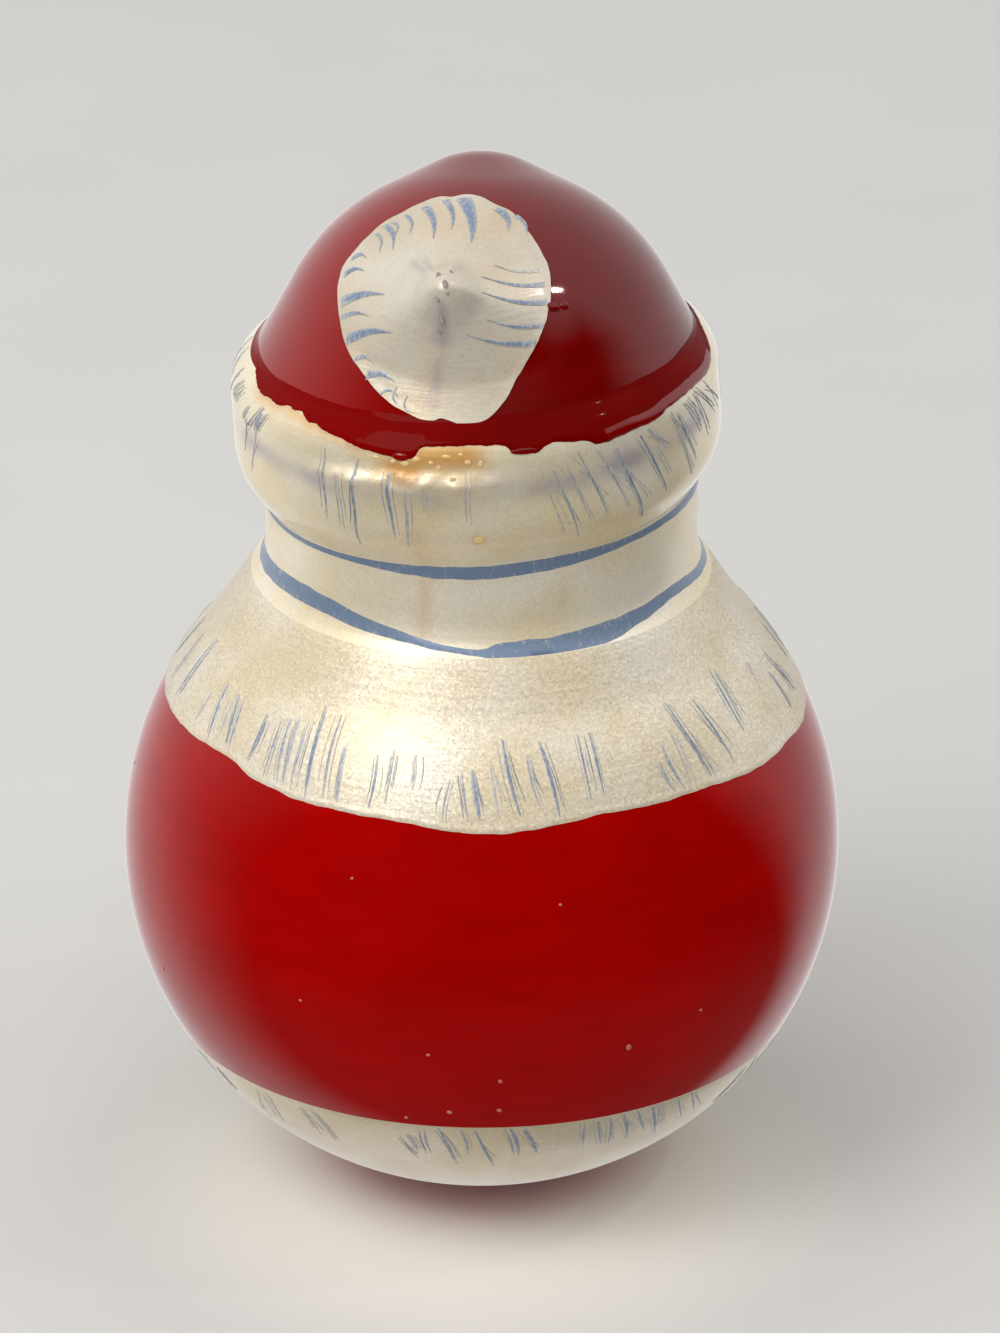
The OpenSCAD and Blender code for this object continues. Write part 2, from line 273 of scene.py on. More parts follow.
def pearlLacquer(name, pale, warm, slant, gloss, haze, grain, stainedAndShaded):
    # mica pearl lacquer brushed over turned wood: flakes that glint, lathe lines, warmer where it is thin
    material, tree, shader, place = newFinish(name)
    cloud = addNode(tree, "TexNoise", {"Scale": 1 / (11 * mm), "Detail": 4.0, "Vector": place})[0]
    share = addNode(tree, "MapRange", {"Value": cloud, "From Min": 0.35, "From Max": 0.65})[0]
    tone = addNode(tree, "Mix", {"data_type": "RGBA", 0: share, 6: linear(pale), 7: linear(warm)})[2]
    # mica flakes are 0.02 to 0.1 mm, drawn 0.22 mm wide so that they show
    flake = addNode(tree, "TexVoronoi", {"Scale": 1 / (0.22 * mm), "Vector": place})["Color"]
    glint = addNode(tree, "MapRange", {
        "Value": flake, "To Min": 1 - 0.2 * grain, "To Max": 1 + 0.14 * grain})[0]
    tone = addNode(tree, "Mix", {
        "data_type": "RGBA", "blend_type": "MULTIPLY", 0: 1.0, 6: tone, 7: glint})[2]
    tilt = addNode(tree, "VectorMath", {"operation": "SUBTRACT", 0: flake, 1: (0.5, 0.5, 0.5)})[0]
    facet = addNode(tree, "VectorMath", {"operation": "SCALE", 0: tilt, "Scale": 0.19 * grain})[0]
    upward = addNode(tree, "SeparateXYZ", {0: place})["Z"]
    lathe = addNode(tree, "TexNoise", {
        "noise_dimensions": "1D", "Scale": 1 / (0.8 * mm), "Detail": 2.0, "W": upward})[0]
    drawn = addNode(tree, "Mapping", {"Scale": (1.0, 1.0, 5.0), "Vector": place})[0]
    pulled = addNode(tree, "TexNoise", {"Scale": 1 / (2.4 * mm), "Detail": 3.0, "Vector": drawn})[0]
    marks = addNode(tree, "Math", {"operation": "MULTIPLY_ADD", 0: pulled, 1: 1.2, 2: lathe})[0]
    bump = addNode(tree, "Bump", {"Strength": 0.5, "Distance": 0.045 * mm, "Height": marks})[0]
    lean = addNode(tree, "VectorMath", {"operation": "ADD", 0: bump, 1: facet})[0]
    fill(tree, shader, {
        "Metallic": 0.44, "Specular IOR Level": 0.3, "Specular Tint": linear(slant), "Coat Weight": gloss,
        "Coat Roughness": haze, "Coat IOR": 1.5, "Coat Normal": bump,
        "Normal": addNode(tree, "VectorMath", {"operation": "NORMALIZE", 0: lean})[0],
        "Roughness": addNode(tree, "MapRange", {"Value": cloud, "To Min": 0.36, "To Max": 0.5})[0]})
    if stainedAndShaded:  # varnish browns the pearl and makes it wet; a grey-lilac is painted where shade falls, under the brim's ridge and round the hat's knob
        amber = addNode(tree, "Attribute", {"attribute_name": "amber"})["Fac"]
        lilacShade = addNode(tree, "Attribute", {"attribute_name": "lilacShade"})["Fac"]
        tone = addNode(tree, "Mix", {"data_type": "RGBA", 0: amber, 6: tone, 7: linear("#cf9343")})[2]
        tone = addNode(tree, "Mix", {"data_type": "RGBA", 0: lilacShade, 6: tone, 7: linear("#a398a0")})[2]
        fill(tree, shader, {
            "Coat Weight": addNode(tree, "MapRange", {"Value": amber, "To Min": gloss, "To Max": 1.0})[0],
            "Coat Roughness": addNode(tree, "MapRange", {"Value": amber, "To Min": haze, "To Max": 0.04})[0]})
    fill(tree, shader, {"Base Color": tone})
    return material


def brushPaint(name, body, ground):
    # steel-blue pearl paint from a fine brush: streaks along the stroke, the ground showing where it ran dry
    material, tree, shader, place = newFinish(name)
    cover = addNode(tree, "Attribute", {"attribute_name": "cover"})["Fac"]
    drawn = addNode(tree, "Mapping", {"Scale": (1.0, 1.0, 0.22), "Vector": place})[0]
    hairs = addNode(tree, "TexNoise", {"Scale": 1 / (0.3 * mm), "Detail": 2.0, "Vector": drawn})[0]
    dry = addNode(tree, "Math", {"operation": "SUBTRACT", 0: cover, 1: hairs})[0]
    share = addNode(tree, "MapRange", {"Value": dry, "From Min": -0.3, "From Max": 0.3})[0]
    tone = addNode(tree, "Mix", {"data_type": "RGBA", 0: share, 6: linear(ground), 7: linear(body)})[2]
    bump = addNode(tree, "Bump", {"Strength": 0.4, "Distance": 0.03 * mm, "Height": hairs})[0]
    fill(tree, shader, {
        "Base Color": tone, "Metallic": 0.3, "Roughness": 0.45, "Coat Weight": 0.3, "Coat Roughness": 0.2,
        "Normal": bump})
    return material


def facePaint(name, tone, second, blush="#c8695c"):
    # satin casein paint from a brush, with a faint mottle and a rub of pink on the cheeks
    material, tree, shader, place = newFinish(name)
    mottle = addNode(tree, "TexNoise", {"Scale": 1 / (2.2 * mm), "Detail": 3.0, "Vector": place})[0]
    plain = addNode(tree, "Mix", {"data_type": "RGBA", 0: mottle, 6: linear(tone), 7: linear(second)})[2]
    cover = addNode(tree, "Attribute", {"attribute_name": "cover"})["Fac"]
    rubbed = addNode(tree, "Mix", {"data_type": "RGBA", 0: cover, 6: plain, 7: linear(blush)})[2]
    bump = addNode(tree, "Bump", {"Strength": 0.2, "Distance": 0.02 * mm, "Height": mottle})[0]
    fill(tree, shader, {
        "Base Color": rubbed, "Roughness": 0.5, "Coat Weight": 0.4, "Coat Roughness": 0.2, "Normal": bump})
    return material


def limeWood(name):
    # bare turned lime: pale even wood with faint growth bands and short pores
    material, tree, shader, place = newFinish(name)
    along = addNode(tree, "Mapping", {"Scale": (1.0, 1.0, 0.08), "Vector": place})[0]
    bands = addNode(tree, "TexNoise", {"Scale": 1 / (3 * mm), "Detail": 4.0, "Vector": along})[0]
    pores = addNode(tree, "TexNoise", {"Scale": 1 / (0.3 * mm), "Detail": 2.0, "Vector": along})[0]
    tone = addNode(tree, "Mix", {
        "data_type": "RGBA", 0: bands, 6: linear("#cdb084"), 7: linear("#dcc59d")})[2]
    bump = addNode(tree, "Bump", {"Strength": 0.3, "Distance": 0.05 * mm, "Height": pores})[0]
    fill(tree, shader, {"Base Color": tone, "Roughness": 0.62, "Normal": bump})
    return material


def metalStock(name, tone, second, low, high, grit, streak):
    # cast, drawn or turned metal: fine marks of the given size, long ones where streak is small
    material, tree, shader, place = newFinish(name)
    drawn = addNode(tree, "Mapping", {"Scale": (1.0, 1.0, streak), "Vector": place})[0]
    fine = addNode(tree, "TexNoise", {"Scale": 1 / (grit * mm), "Detail": 3.0, "Vector": drawn})[0]
    mixed = addNode(tree, "Mix", {"data_type": "RGBA", 0: fine, 6: linear(tone), 7: linear(second)})[2]
    fill(tree, shader, {
        "Base Color": mixed, "Metallic": 1.0,
        "Roughness": addNode(tree, "MapRange", {"Value": fine, "To Min": low, "To Max": high})[0],
        "Normal": addNode(tree, "Bump", {"Strength": 0.4, "Distance": 0.05 * mm, "Height": fine})[0]})
    return material


def amberVarnish(name):
    # spirit varnish that ran out of the hat's joint and set in drops: clear brown, glossy
    material, tree, shader, place = newFinish(name)
    cloud = addNode(tree, "TexNoise", {"Scale": 1 / (1.5 * mm), "Detail": 2.0, "Vector": place})[0]
    tone = addNode(tree, "Mix", {
        "data_type": "RGBA", 0: cloud, 6: linear("#c9a468"), 7: linear("#d8bc8a")})[2]
    fill(tree, shader, {
        "Base Color": tone, "Roughness": 0.12, "Coat Weight": 1.0, "Coat Roughness": 0.03,
        "Subsurface Weight": 0.15, "Subsurface Scale": 0.5 * mm})
    return material


coatRed = redLacquer("redGlossLacquerCoat", "#8a0100", "#960201", 1.3)
# The hat's red, its run on the brim and its bead are the coat's red painted darker: painted shade for the
# lesser light that falls on the hat
hatRed = redLacquer("redGlossLacquerHat", "#5a0100", "#670201", 1.46, "#820302")
runRed = redLacquer("redGlossLacquerRun", "#5a0100", "#680201", 1.1, "#720302")
beadRed = redLacquer("redGlossLacquerBead", "#660100", "#740201", 1.6)
spotRed = redLacquer("redGlossLacquerSpot", "#a80502", "#b40804", 1.3)
pearl = pearlLacquer("pearlLacquer", "#e2d9c8", "#d9caac", "#6e685f", 0.25, 0.13, 1.0, False)
pearlHem = pearlLacquer("pearlLacquerHem", "#dbd1be", "#d2c2a4", "#dcd4c6", 0.45, 0.13, 0.6, False)
pearlBrim = pearlLacquer("pearlLacquerBrim", "#eae1cc", "#e3d3ac", "#dcd4c6", 1.0, 0.11, 0.45, True)
pearlNeck = pearlLacquer("pearlLacquerNeck", "#ece3d0", "#e4d5b4", "#dcd4c6", 0.3, 0.2, 0.5, True)
pearlTip = pearlLacquer("pearlLacquerTip", "#cec6b7", "#c3b7a1", "#dcd4c6", 0.5, 0.13, 0.4, True)
blue = brushPaint("steelBluePearlPaint", "#6d7f97", "#c9c1b3")
skin = facePaint("skinPaint", "#e2b596", "#d9a688")
dark = facePaint("darkBrownPaint", "#2a1a14", "#3a251b")
dust = facePaint("dustInLacquer", "#b9726a", "#a34f49")
smudge = facePaint("brownGreyPaint", "#6d5f58", "#857870")
white = facePaint("whitePaint", "#e9e4da", "#dfd8cc")
lips = facePaint("lipPaint", "#a83a32", "#96302a")
wood = limeWood("turnedLime")
iron = metalStock("castIron", "#47484a", "#5a5b5d", 0.6, 0.8, 0.8, 1.0)
steel = metalStock("platedSteel", "#b4b7bb", "#c8cbce", 0.22, 0.36, 0.3, 0.15)
brass = metalStock("turnedBrass", "#c29a4c", "#d4b063", 0.22, 0.38, 0.4, 6.0)
varnish = amberVarnish("amberVarnish")
print("finishes made")

# Carried-over nodes keep their solids and get the real material of each
slotFinish = {"bare_wood": wood, "cast_iron": iron, "steel": steel, "brass": brass, "pearl_white": pearl,
              "coat_red": coatRed, "hat_red": hatRed}
for row in frame["record"]["subparts"]:
    mesh = frame["nodes"][row["node"]].data
    mesh.materials.clear()
    mesh.materials.append(slotFinish[row["material_slot"]])


# Body: hollow turned shell, red below and the white collar painted over it above
body = {
    "girthR": 42.5, "girthZ": 41.2, "sideX": 1.5331, "hemAngle": -29.3, "shoulderAngle": 43,
    "crease": (27.1, 76.585), "hollowR": 36.5, "hollowTop": 68.085, "hollowEnd": -21, "wall": 6,
    "tenonR": 13.05,
    "throat": [(30.206, 28.702), (30.206, 25.702), (33.706, 25.702), (33.706, 21.152)],
    "film": 0.07, "bead": 0.07, "edgeWave": 0.12, "collarZ": 60.4, "lip": 0.2, "fade": 1,
    "rows": (62, 26), "steps": 360,
    "collar": [
        (79, 61.4), (69, 61.6), (62, 61.8), (52, 62.0), (46, 61.25), (39, 60.85), (34, 60.6), (24, 60.55),
        (14, 60.4), (5, 59.75), (-1, 59.6), (-5, 59.55), (-7, 59.75), (-12, 60.1), (-21, 60.6),
        (-31, 60.45), (-42, 60.45), (-55, 59.8), (-64, 59.65), (-71, 59.8), (-77, 59.4), (-98, 59.8),
        (-122, 60.7), (-146, 60.2), (-170, 59.7), (168, 60.1), (146, 60.9), (122, 60.4), (100, 61.1)]}
sideR = body["girthR"] - body["sideX"]
shoulder = arcPoints(0, body["girthZ"], body["girthR"], body["shoulderAngle"], body["shoulderAngle"], 1)[0]
bodyLine = measured(eased(
    arcPoints(body["sideX"], body["girthZ"], sideR, body["hemAngle"], 0, 120)
    + arcPoints(0, body["girthZ"], body["girthR"], 0, body["shoulderAngle"], 180)[1:]
    + straight(shoulder, body["crease"], 40) + [body["crease"]], 64, 76, 60))
collarAt = closedCurve(body["collar"])


def makeBody():
    edge = alongAt(bodyLine, body["collarZ"])
    inner = [(body["tenonR"], body["crease"][1]), (body["tenonR"], body["hollowTop"])]
    top = degrees(asin((body["hollowTop"] - body["girthZ"]) / body["hollowR"]))
    inner += arcPoints(0, body["girthZ"], body["hollowR"], top, 0, 20)
    inner += arcPoints(body["sideX"], body["girthZ"], sideR - body["wall"], 0, body["hollowEnd"], 10)[1:]
    inner += body["throat"]
    rows = bandRows(bodyLine, edge, body)
    bm, row = spun(rows + [(r, z, -1) for r, z in inner], body["steps"], True)

    def edgeAt(b, place):
        wave = uneven(place, 400, 3) + 0.5 * uneven(place, 1100, 7)
        return alongAt(bodyLine, collarAt(b) + body["edgeWave"] * wave)
    shiftBand(bm, row, bodyLine, edge, edgeAt, body)
    for face in bm.faces:
        marks = [v[row] for v in face.verts]
        if min(marks) < 0:
            face.material_index = 2
        elif max(marks) >= edge:
            face.material_index = 1
    return finishPiece(bm, "coatBody", [coatRed, pearl, wood], "coat_red", ["body_shell"])


makeBody()

# Base: turned bowl with the white hem and a red spot under it
base = {
    "rollR": 45, "rollZ": 44.9305, "footR": 2.5, "rollEnd": -67.65, "bowlR": 38, "boreR": 1.85,
    "boreEnd": 1.88, "tongue": [(33.656, 21.152), (33.656, 23.652)], "spotR": 19, "film": 0.06, "bead": 0,
    "lip": 0.2, "fade": 0.8, "rows": (16, 36), "steps": 300,
    "spot": [
        (0, 19.2), (40, 18.8), (85, 19.4), (130, 18.9), (180, 19.3), (225, 18.7), (270, 19.2), (320, 18.9)]}
baseLine = measured(
    arcPoints(0, base["rollZ"], base["rollR"], -degrees(acos(base["footR"] / base["rollR"])),
              base["rollEnd"], 90)
    + arcPoints(body["sideX"], body["girthZ"], sideR, base["rollEnd"], body["hemAngle"], 120)[1:])
spotAt = closedCurve(base["spot"])


def makeBase():
    edge = next(s for p, s in zip(baseLine["points"], baseLine["along"]) if p[0] > base["spotR"])
    rows = [(0, 0, -1)] + bandRows(baseLine, edge, base)
    deep = base["rollZ"] - base["tongue"][1][1]
    bowlTop = -degrees(acos(sqrt(base["bowlR"] ** 2 - deep ** 2) / base["bowlR"]))
    bowlEnd = -degrees(acos(base["boreR"] / base["bowlR"]))
    inner = base["tongue"] + arcPoints(0, base["rollZ"], base["bowlR"], bowlTop, bowlEnd, 20)
    inner += [(base["boreR"], base["boreEnd"]), (0, base["boreEnd"])]
    bm, row = spun(rows + [(r, z, -1) for r, z in inner], base["steps"], False)
    shiftBand(bm, row, baseLine, edge, lambda b, place: edge + spotAt(b) - base["spotR"], base)
    for face in bm.faces:
        marks = [v[row] for v in face.verts]
        inside = min(marks) < 0 and face.calc_center_median().z > 0.4 * mm
        face.material_index = 2 if inside else int(max(marks) >= edge)
    return finishPiece(bm, "hemBase", [spotRed, pearlHem, wood], "pearl_white", ["base_cap"])


makeBase()

# Head: neck and fur brim in one turned piece, with the hat's red run over the top of the brim
head = {
    "neckR": 25.4, "flare": 1.7, "flareH": 4.4, "coveFrom": 30, "brimZ": 87.685, "brimTop": 104.385,
    "brimR": 28.5, "lowRound": 8, "lowH": 7, "lowStart": -36, "side": 6.3, "topRound": 5.2, "topEnd": 75,
    "tilt": 3.4, "seatR": 22, "dowelR": 4.05, "dowelZ": 95.385, "eyeR": 1.35, "eyeZ": 78.085, "tenonR": 13,
    "redZ": 103.5, "film": 0.05, "roll": 0.16, "lip": 0.12, "sag": 1.05, "sagFoot": 94, "sagCrest": 99.1,
    "sagTop": 101.4, "wet": 0.42, "steps": 480,
    "seeps": [(0.85, 1.2, 1.7, (-6, 2, 18, 26)), (0.6, 0, 0.8, (22, 30, 62, 75))],
    "blots": [(0.45, 0.4, 1.6, 92, 0.9), (0.16, -22, 2, 83, 3)],
    "redEdge": [
        (102, 106), (94, 105.95), (84.5, 105.85), (76.6, 105.55), (70, 105), (65, 104.65), (60.6, 104.75),
        (56.2, 104.6), (53.5, 104.9), (50.5, 104.85), (47.3, 104.85), (43.9, 104.3), (41.2, 104.3),
        (38, 103.9), (35, 103.75), (32, 103.5), (29.7, 103.15), (23.5, 102.65), (18.5, 102.3),
        (16.7, 102.2), (14.1, 102.4), (12.5, 103.4), (9, 103.65), (5, 103.7), (-2.8, 103.6), (-7.8, 103.3),
        (-9.1, 102.5), (-11.8, 102.3), (-15, 102.25), (-17, 102.8), (-19.3, 103), (-23.3, 102.65),
        (-27.8, 102.3), (-29.3, 101.7), (-32, 101.6), (-36, 101.75), (-40, 101.95), (-45, 101.9),
        (-49, 102.1), (-52, 102.5), (-58, 102.7), (-66, 102.8), (-75, 102.7), (-82, 103.4), (-86, 104.1),
        (-91, 104.8), (-98, 105.1), (-112, 105.3), (-130, 104.6), (-150, 104.9), (180, 104.4), (150, 104.8),
        (125, 105.2), (112, 105.7)]}
tiltPivot = Vector((0, 0, head["brimZ"] * mm))
tiltTurn = Matrix.Rotation(radians(head["tilt"]), 3, "Y")


def sagged(b, z):  # lacquer sagged into a soft ridge on the brim under the hat's joint
    b = apart(b)
    side = between(b, -16, 4, 28, 50)
    ripple = head["wet"] * softStep(z, 97.5, 99.5) * noise.noise((b * 0.34, z * 0.75, 21))
    ridge = head["sag"] * softStep(z, head["sagFoot"], head["sagCrest"])
    return side * (ridge + ripple) * (1 - softStep(z, head["sagCrest"], head["sagTop"]))


def onHead(bearing, r, z):  # the neck stands upright and the brim is tilted on it, up on its -X side
    p = around(bearing, r + sagged(bearing, z), z)
    return p.lerp(tiltPivot + tiltTurn @ (p - tiltPivot), softStep(z, 82, head["brimZ"]))


cove = []
for i in range(31):
    turn = radians(head["coveFrom"] + (90 - head["coveFrom"]) * i / 30)
    fall = sin(radians(head["coveFrom"]))
    reach = cos(radians(head["coveFrom"]))
    cove.append((head["neckR"] + head["flare"] * (1 - sin(turn)) / (1 - fall),
                 body["crease"][1] + head["flareH"] * (1 - cos(turn) / reach)))
underBrim = (head["neckR"], head["brimZ"])
lowZ = head["brimZ"] + head["lowH"]
lowArc = arcPoints(head["brimR"] - head["lowRound"], lowZ, head["lowRound"], head["lowStart"], 0, 50)
topArc = arcPoints(head["brimR"] - head["topRound"], lowZ + head["side"], head["topRound"], 0,
                   head["topEnd"], 70)
headLine = measured(
    cove + straight(cove[-1], underBrim, 30) + [underBrim] + straight(underBrim, lowArc[0], 12) + lowArc
    + straight(lowArc[-1], topArc[0], 30) + topArc, onHead)
redAt = closedCurve(head["redEdge"])


def stainsAndShade(b, z):  # amber where varnish ran out of the hat's joint, and a blotched grey-lilac band round the brim under its ridge, which is painted shade
    b = apart(b)
    below = redAt(b) - z
    amber = 0.22 * bell(b, 15, 2.2) * between(z, 77, 79, 92, 99) + 0.06 * bell(z, 91.5, 3)
    for much, drop, high, span in head["seeps"]:
        if below > 0:
            amber += much * bell(below, drop, high) * between(b, *span)
    for much, at, wide, level, high in head["blots"]:
        amber += much * bell(b, at, wide) * bell(z, level, high)
    # painted shade: a grey band under the brim's ridge, blotched unevenly
    blot = noise.noise((b * 0.07, z * 0.25, 11))
    lilacShade = (0.3 + 0.7 * softStep(blot, -0.2, 0.4)) * 0.8 * bell(z, 98.4, 1.7)
    return min(amber, 1), min(lilacShade, 1)


def makeHead():
    length = headLine["length"]
    edge = alongAt(headLine, head["redZ"])
    corner = alongAt(headLine, head["brimZ"])  # one row lies in the corner under the brim
    rise = edge - head["lip"] - corner
    lower = [corner * i / 26 for i in range(27)] + [corner + rise * i / 44 for i in range(1, 45)]
    upper = [edge, edge + 0.15, edge + 0.3, edge + 0.5, edge + 0.75, edge + 1.05]
    upper += [edge + 1.05 + (length - edge - 1.05) * (i + 1) / 6 for i in range(6)]
    rows = [(*placeOn(headLine, s)[:2], s) for s in lower + upper]
    z, top = head["dowelZ"], head["brimTop"]
    rows = [(0, head["eyeZ"], -1), (head["eyeR"], head["eyeZ"], -1), (head["eyeR"], body["hollowTop"], -1),
            (head["tenonR"], body["hollowTop"], -1), (head["tenonR"], body["crease"][1], -1)] + rows
    rows += [(head["seatR"], top, -1), (head["dowelR"], top, -1), (head["dowelR"], z, -1), (0, z, -1)]
    bm, row = spun(rows, head["steps"], False)
    amber = bm.verts.layers.float.new("amber")
    lilacShade = bm.verts.layers.float.new("lilacShade")
    for v in bm.verts:
        s = v[row]
        if s < 0:
            continue
        b = bearingOf(v)
        ragged = uneven(v.co, 900, 5) + 0.6 * uneven(v.co, 2400, 9)
        e = alongAt(headLine, min(redAt(b) + 0.11 * ragged, 105.98))
        lift = 0
        if s < edge:
            s += max(s - corner, 0) * ((e - head["lip"] - corner) / rise - 1)
        else:
            pool = 0.6 + 0.25 * uneven(v.co, 260, 2)
            pool += 0.9 * between(-b, 27, 33, 68, 82)  # a fat bead on one side
            run = s - edge
            s = e + run * (length - e) / (length - edge)
            lift = head["film"] + head["roll"] * pool * sin(pi * min(run + 0.25, 1.3) / 1.3)
            lift *= 1 - softStep(s, length - 0.6, length)
        v.co = onLine(headLine, b, s, lift)
        v[amber], v[lilacShade] = stainsAndShade(b, placeOn(headLine, s)[1])
    for face in bm.faces:
        marks = [v[row] for v in face.verts]
        if min(marks) < 0:
            face.material_index = 2
        elif max(marks) >= edge:
            b = bearingOf(face.verts[0])
            face.material_index = 3 if -80 < b < -30 and max(marks) < edge + 1.1 else 1
        elif max(marks) <= corner + 0.01:
            face.material_index = 4
    finishes = [pearlBrim, runRed, wood, beadRed, pearlNeck]
    return finishPiece(bm, "brimHead", finishes, "pearl_white", ["head"])


makeHead()

# Hat: carved crown with a leaning peak at the front, and at the back a drooping tip with the white pompom
hat = {
    "z": 100.585, "crownR": 25.03, "tipBall": 1.5, "tipAt": 27.2, "tipLean": 47.5, "tipTurn": 11,
    "peakBall": 12.3, "peakAt": 14.05, "peakLean": -25.5, "footTangent": 27.5,
    "ridges": [
        (312, 9, 0.3), (330, 7, -0.16), (8, 10, 0.26), (184, 7, 0.22), (205, 10, -0.14), (90, 16, 0.12)],
    # grey-lilac painted below the knob and along the creases beside it: painted shade
    "shadeSmudges": [
        (183, 16, 4, 12, 0.7), (310, 5, 8, 14, 0.5), (322, 4, 7, 12, 0.45), (184, 4, 16, 28, 0.35),
        (20, 14, 3, 7, 0.3), (75, 40, 26, 31, 0.2)],
    "film": 0.09, "knob": (1.25, 6.6), "swell": (0.6, 11), "dowelH": 9, "rowsTip": 36, "rows": 132,
    "segments": 240,
    "pompom": [
        (356, 36.1), (2, 36), (12.7, 33.6), (21, 33.1), (34, 30.4), (46, 28.9), (58, 28.3), (69, 27.3),
        (82, 26.2), (96, 25.5), (110, 25.4), (121, 25.7), (134, 27.1), (145, 30), (154.5, 32), (161, 32.6),
        (168.5, 32.2), (176, 31), (179.6, 30.7), (182.3, 31.5), (190, 31.4), (201, 31), (213, 30.6),
        (227, 30.1), (240, 30.9), (252, 31.5), (266, 32.6), (278, 34.5), (287.5, 35.8), (296, 35.5),
        (306, 35), (317, 35.2), (327, 34.7), (337, 35.5), (345.7, 36.1), (350, 35.2)]}
hatCentre = Vector((0, 0, hat["z"] * mm))
tipLean, tipTurn = radians(hat["tipLean"]), radians(hat["tipTurn"])
tipWay = Vector((sin(tipLean) * sin(tipTurn), sin(tipLean) * cos(tipTurn),
                 cos(tipLean)))
peakWay = Vector((0, sin(radians(hat["peakLean"])), cos(radians(hat["peakLean"]))))
tipUp = (Vector((0, 0, 1)) - tipWay.z * tipWay).normalized()
tipSide = tipUp.cross(tipWay)
pompomAt = closedCurve(hat["pompom"])


def knobReach(angle, ball, at):  # reach from the crown's centre over a ball drawn out of it, like a taut skin
    start = acos((hat["crownR"] - ball) / at)
    end = atan2(ball * sin(start), at + ball * cos(start))
    if angle >= start:
        return hat["crownR"]
    if angle >= end:
        return hat["crownR"] / cos(start - angle)
    return at * cos(angle) + sqrt(max(ball ** 2 - (at * sin(angle)) ** 2, 0))


def softMax(a, b, blend):  # the larger of two reaches, rounded where both stand out of the crown
    gap = max(blend - abs(a - b), 0) / blend * min((min(a, b) - hat["crownR"]) / 0.3, 1)
    return max(a, b) + gap * gap * blend / 4


def hatReach(way):
    rise = asin(max(-1, min(1, way.z)))
    tangent = radians(hat["footTangent"])
    foot = hat["crownR"] / cos(min(tangent - rise, 1.2)) if rise < tangent else hat["crownR"]
    tip = knobReach(way.angle(tipWay), hat["tipBall"], hat["tipAt"])
    peak = knobReach(way.angle(peakWay), hat["peakBall"], hat["peakAt"])
    return softMax(softMax(tip, peak, 0.5), foot, 0.4)


def tipPolar(turn, angle):  # a way from the crown's centre: turn clockwise from the hat's top round the tip
    a, f = radians(angle), radians(turn)
    return cos(a) * tipWay + sin(a) * (cos(f) * tipUp + sin(f) * tipSide)


def onHat(way, lift):
    return hatCentre + way * (hatReach(way) + lift) * mm


def tipLift(way):  # how far the white tip stands out of the crown: a knob, and soft ridges round it
    angle = degrees(way.angle(tipWay))
    turn = degrees(atan2(way.dot(tipSide), way.dot(tipUp)))
    ridge = sum(high * bell(apart(turn, at), 0, wide) for at, wide, high in hat["ridges"])
    (knob, knobR), (swell, swellR) = hat["knob"], hat["swell"]
    tip = knob * exp(-(angle / knobR) ** 4) + swell * bell(angle, 0, swellR)
    return hat["film"] + between(angle, 3, 7, 14, 26) * ridge + tip


def makeHat():
    bm = bmesh.new()
    bmesh.ops.create_uvsphere(bm, u_segments=hat["segments"], v_segments=hat["rows"], radius=1)
    row = bm.verts.layers.float.new("row")
    lilacShade = bm.verts.layers.float.new("lilacShade")
    amber = bm.verts.layers.float.new("amber")
    n = hat["rowsTip"]
    for v in bm.verts:
        i = round(degrees(acos(max(-1, min(1, v.co.z)))) * hat["rows"] / 180)
        turn = degrees(atan2(v.co.y, v.co.x))
        a = radians(turn)
        edge = pompomAt(turn) + 0.25 * noise.noise((cos(a) * 9, sin(a) * 9, 4))
        if i <= n:
            angle = edge * i / n
            way = tipPolar(turn, angle)
            rim = softStep(i, n - 3, n)
            lift = tipLift(way) + 0.06 * rim
            # painted shade below the knob and along its creases
            for at, wide, start, end, much in hat["shadeSmudges"]:
                band = between(angle, start - 2, start + 1, end - 1, end + 2)
                v[lilacShade] += much * bell(apart(turn, at), 0, wide) * band
            v[amber] = 0.12 * softStep(noise.noise(way * 5), 0, 0.5)
        else:
            angle = edge + 0.3 + (180 - edge - 0.3) * (i - n - 1) / (hat["rows"] - n - 1)
            way = tipPolar(turn, angle)
            lift = 0
        v[row] = i
        v.co = onHat(way, lift)
    for face in bm.faces:
        face.material_index = 1 if min(v[row] for v in face.verts) < n else 0
    bmesh.ops.remove_doubles(bm, verts=bm.verts, dist=1e-8)
    foot, dowelTop = head["brimTop"], head["brimTop"] + hat["dowelH"]
    bmesh.ops.bisect_plane(bm, geom=bm.verts[:] + bm.edges[:] + bm.faces[:], plane_co=(0, 0, foot * mm),
                           plane_no=(0, 0, -1), clear_outer=True)
    rim = [e for e in bm.edges if e.is_boundary]
    for radius, z in ((head["dowelR"], foot), (head["dowelR"], dowelTop), (0, dowelTop)):
        made = bmesh.ops.extrude_edge_only(bm, edges=rim)["geom"]
        rim = [e for e in made if isinstance(e, bmesh.types.BMEdge) and e.is_boundary]
        for v in {v for e in rim for v in e.verts}:
            out = Vector((v.co.x, v.co.y, 0)).normalized() * radius * mm
            v.co = (out.x, out.y, z * mm)
        for face in {f for e in rim for f in e.link_faces}:
            face.material_index = 2
    bmesh.ops.remove_doubles(bm, verts=bm.verts, dist=1e-7)
    bmesh.ops.recalc_face_normals(bm, faces=bm.faces)
    return finishPiece(bm, "hatDome", [hatRed, pearlTip, wood], "hat_red", ["hat"])


makeHat()


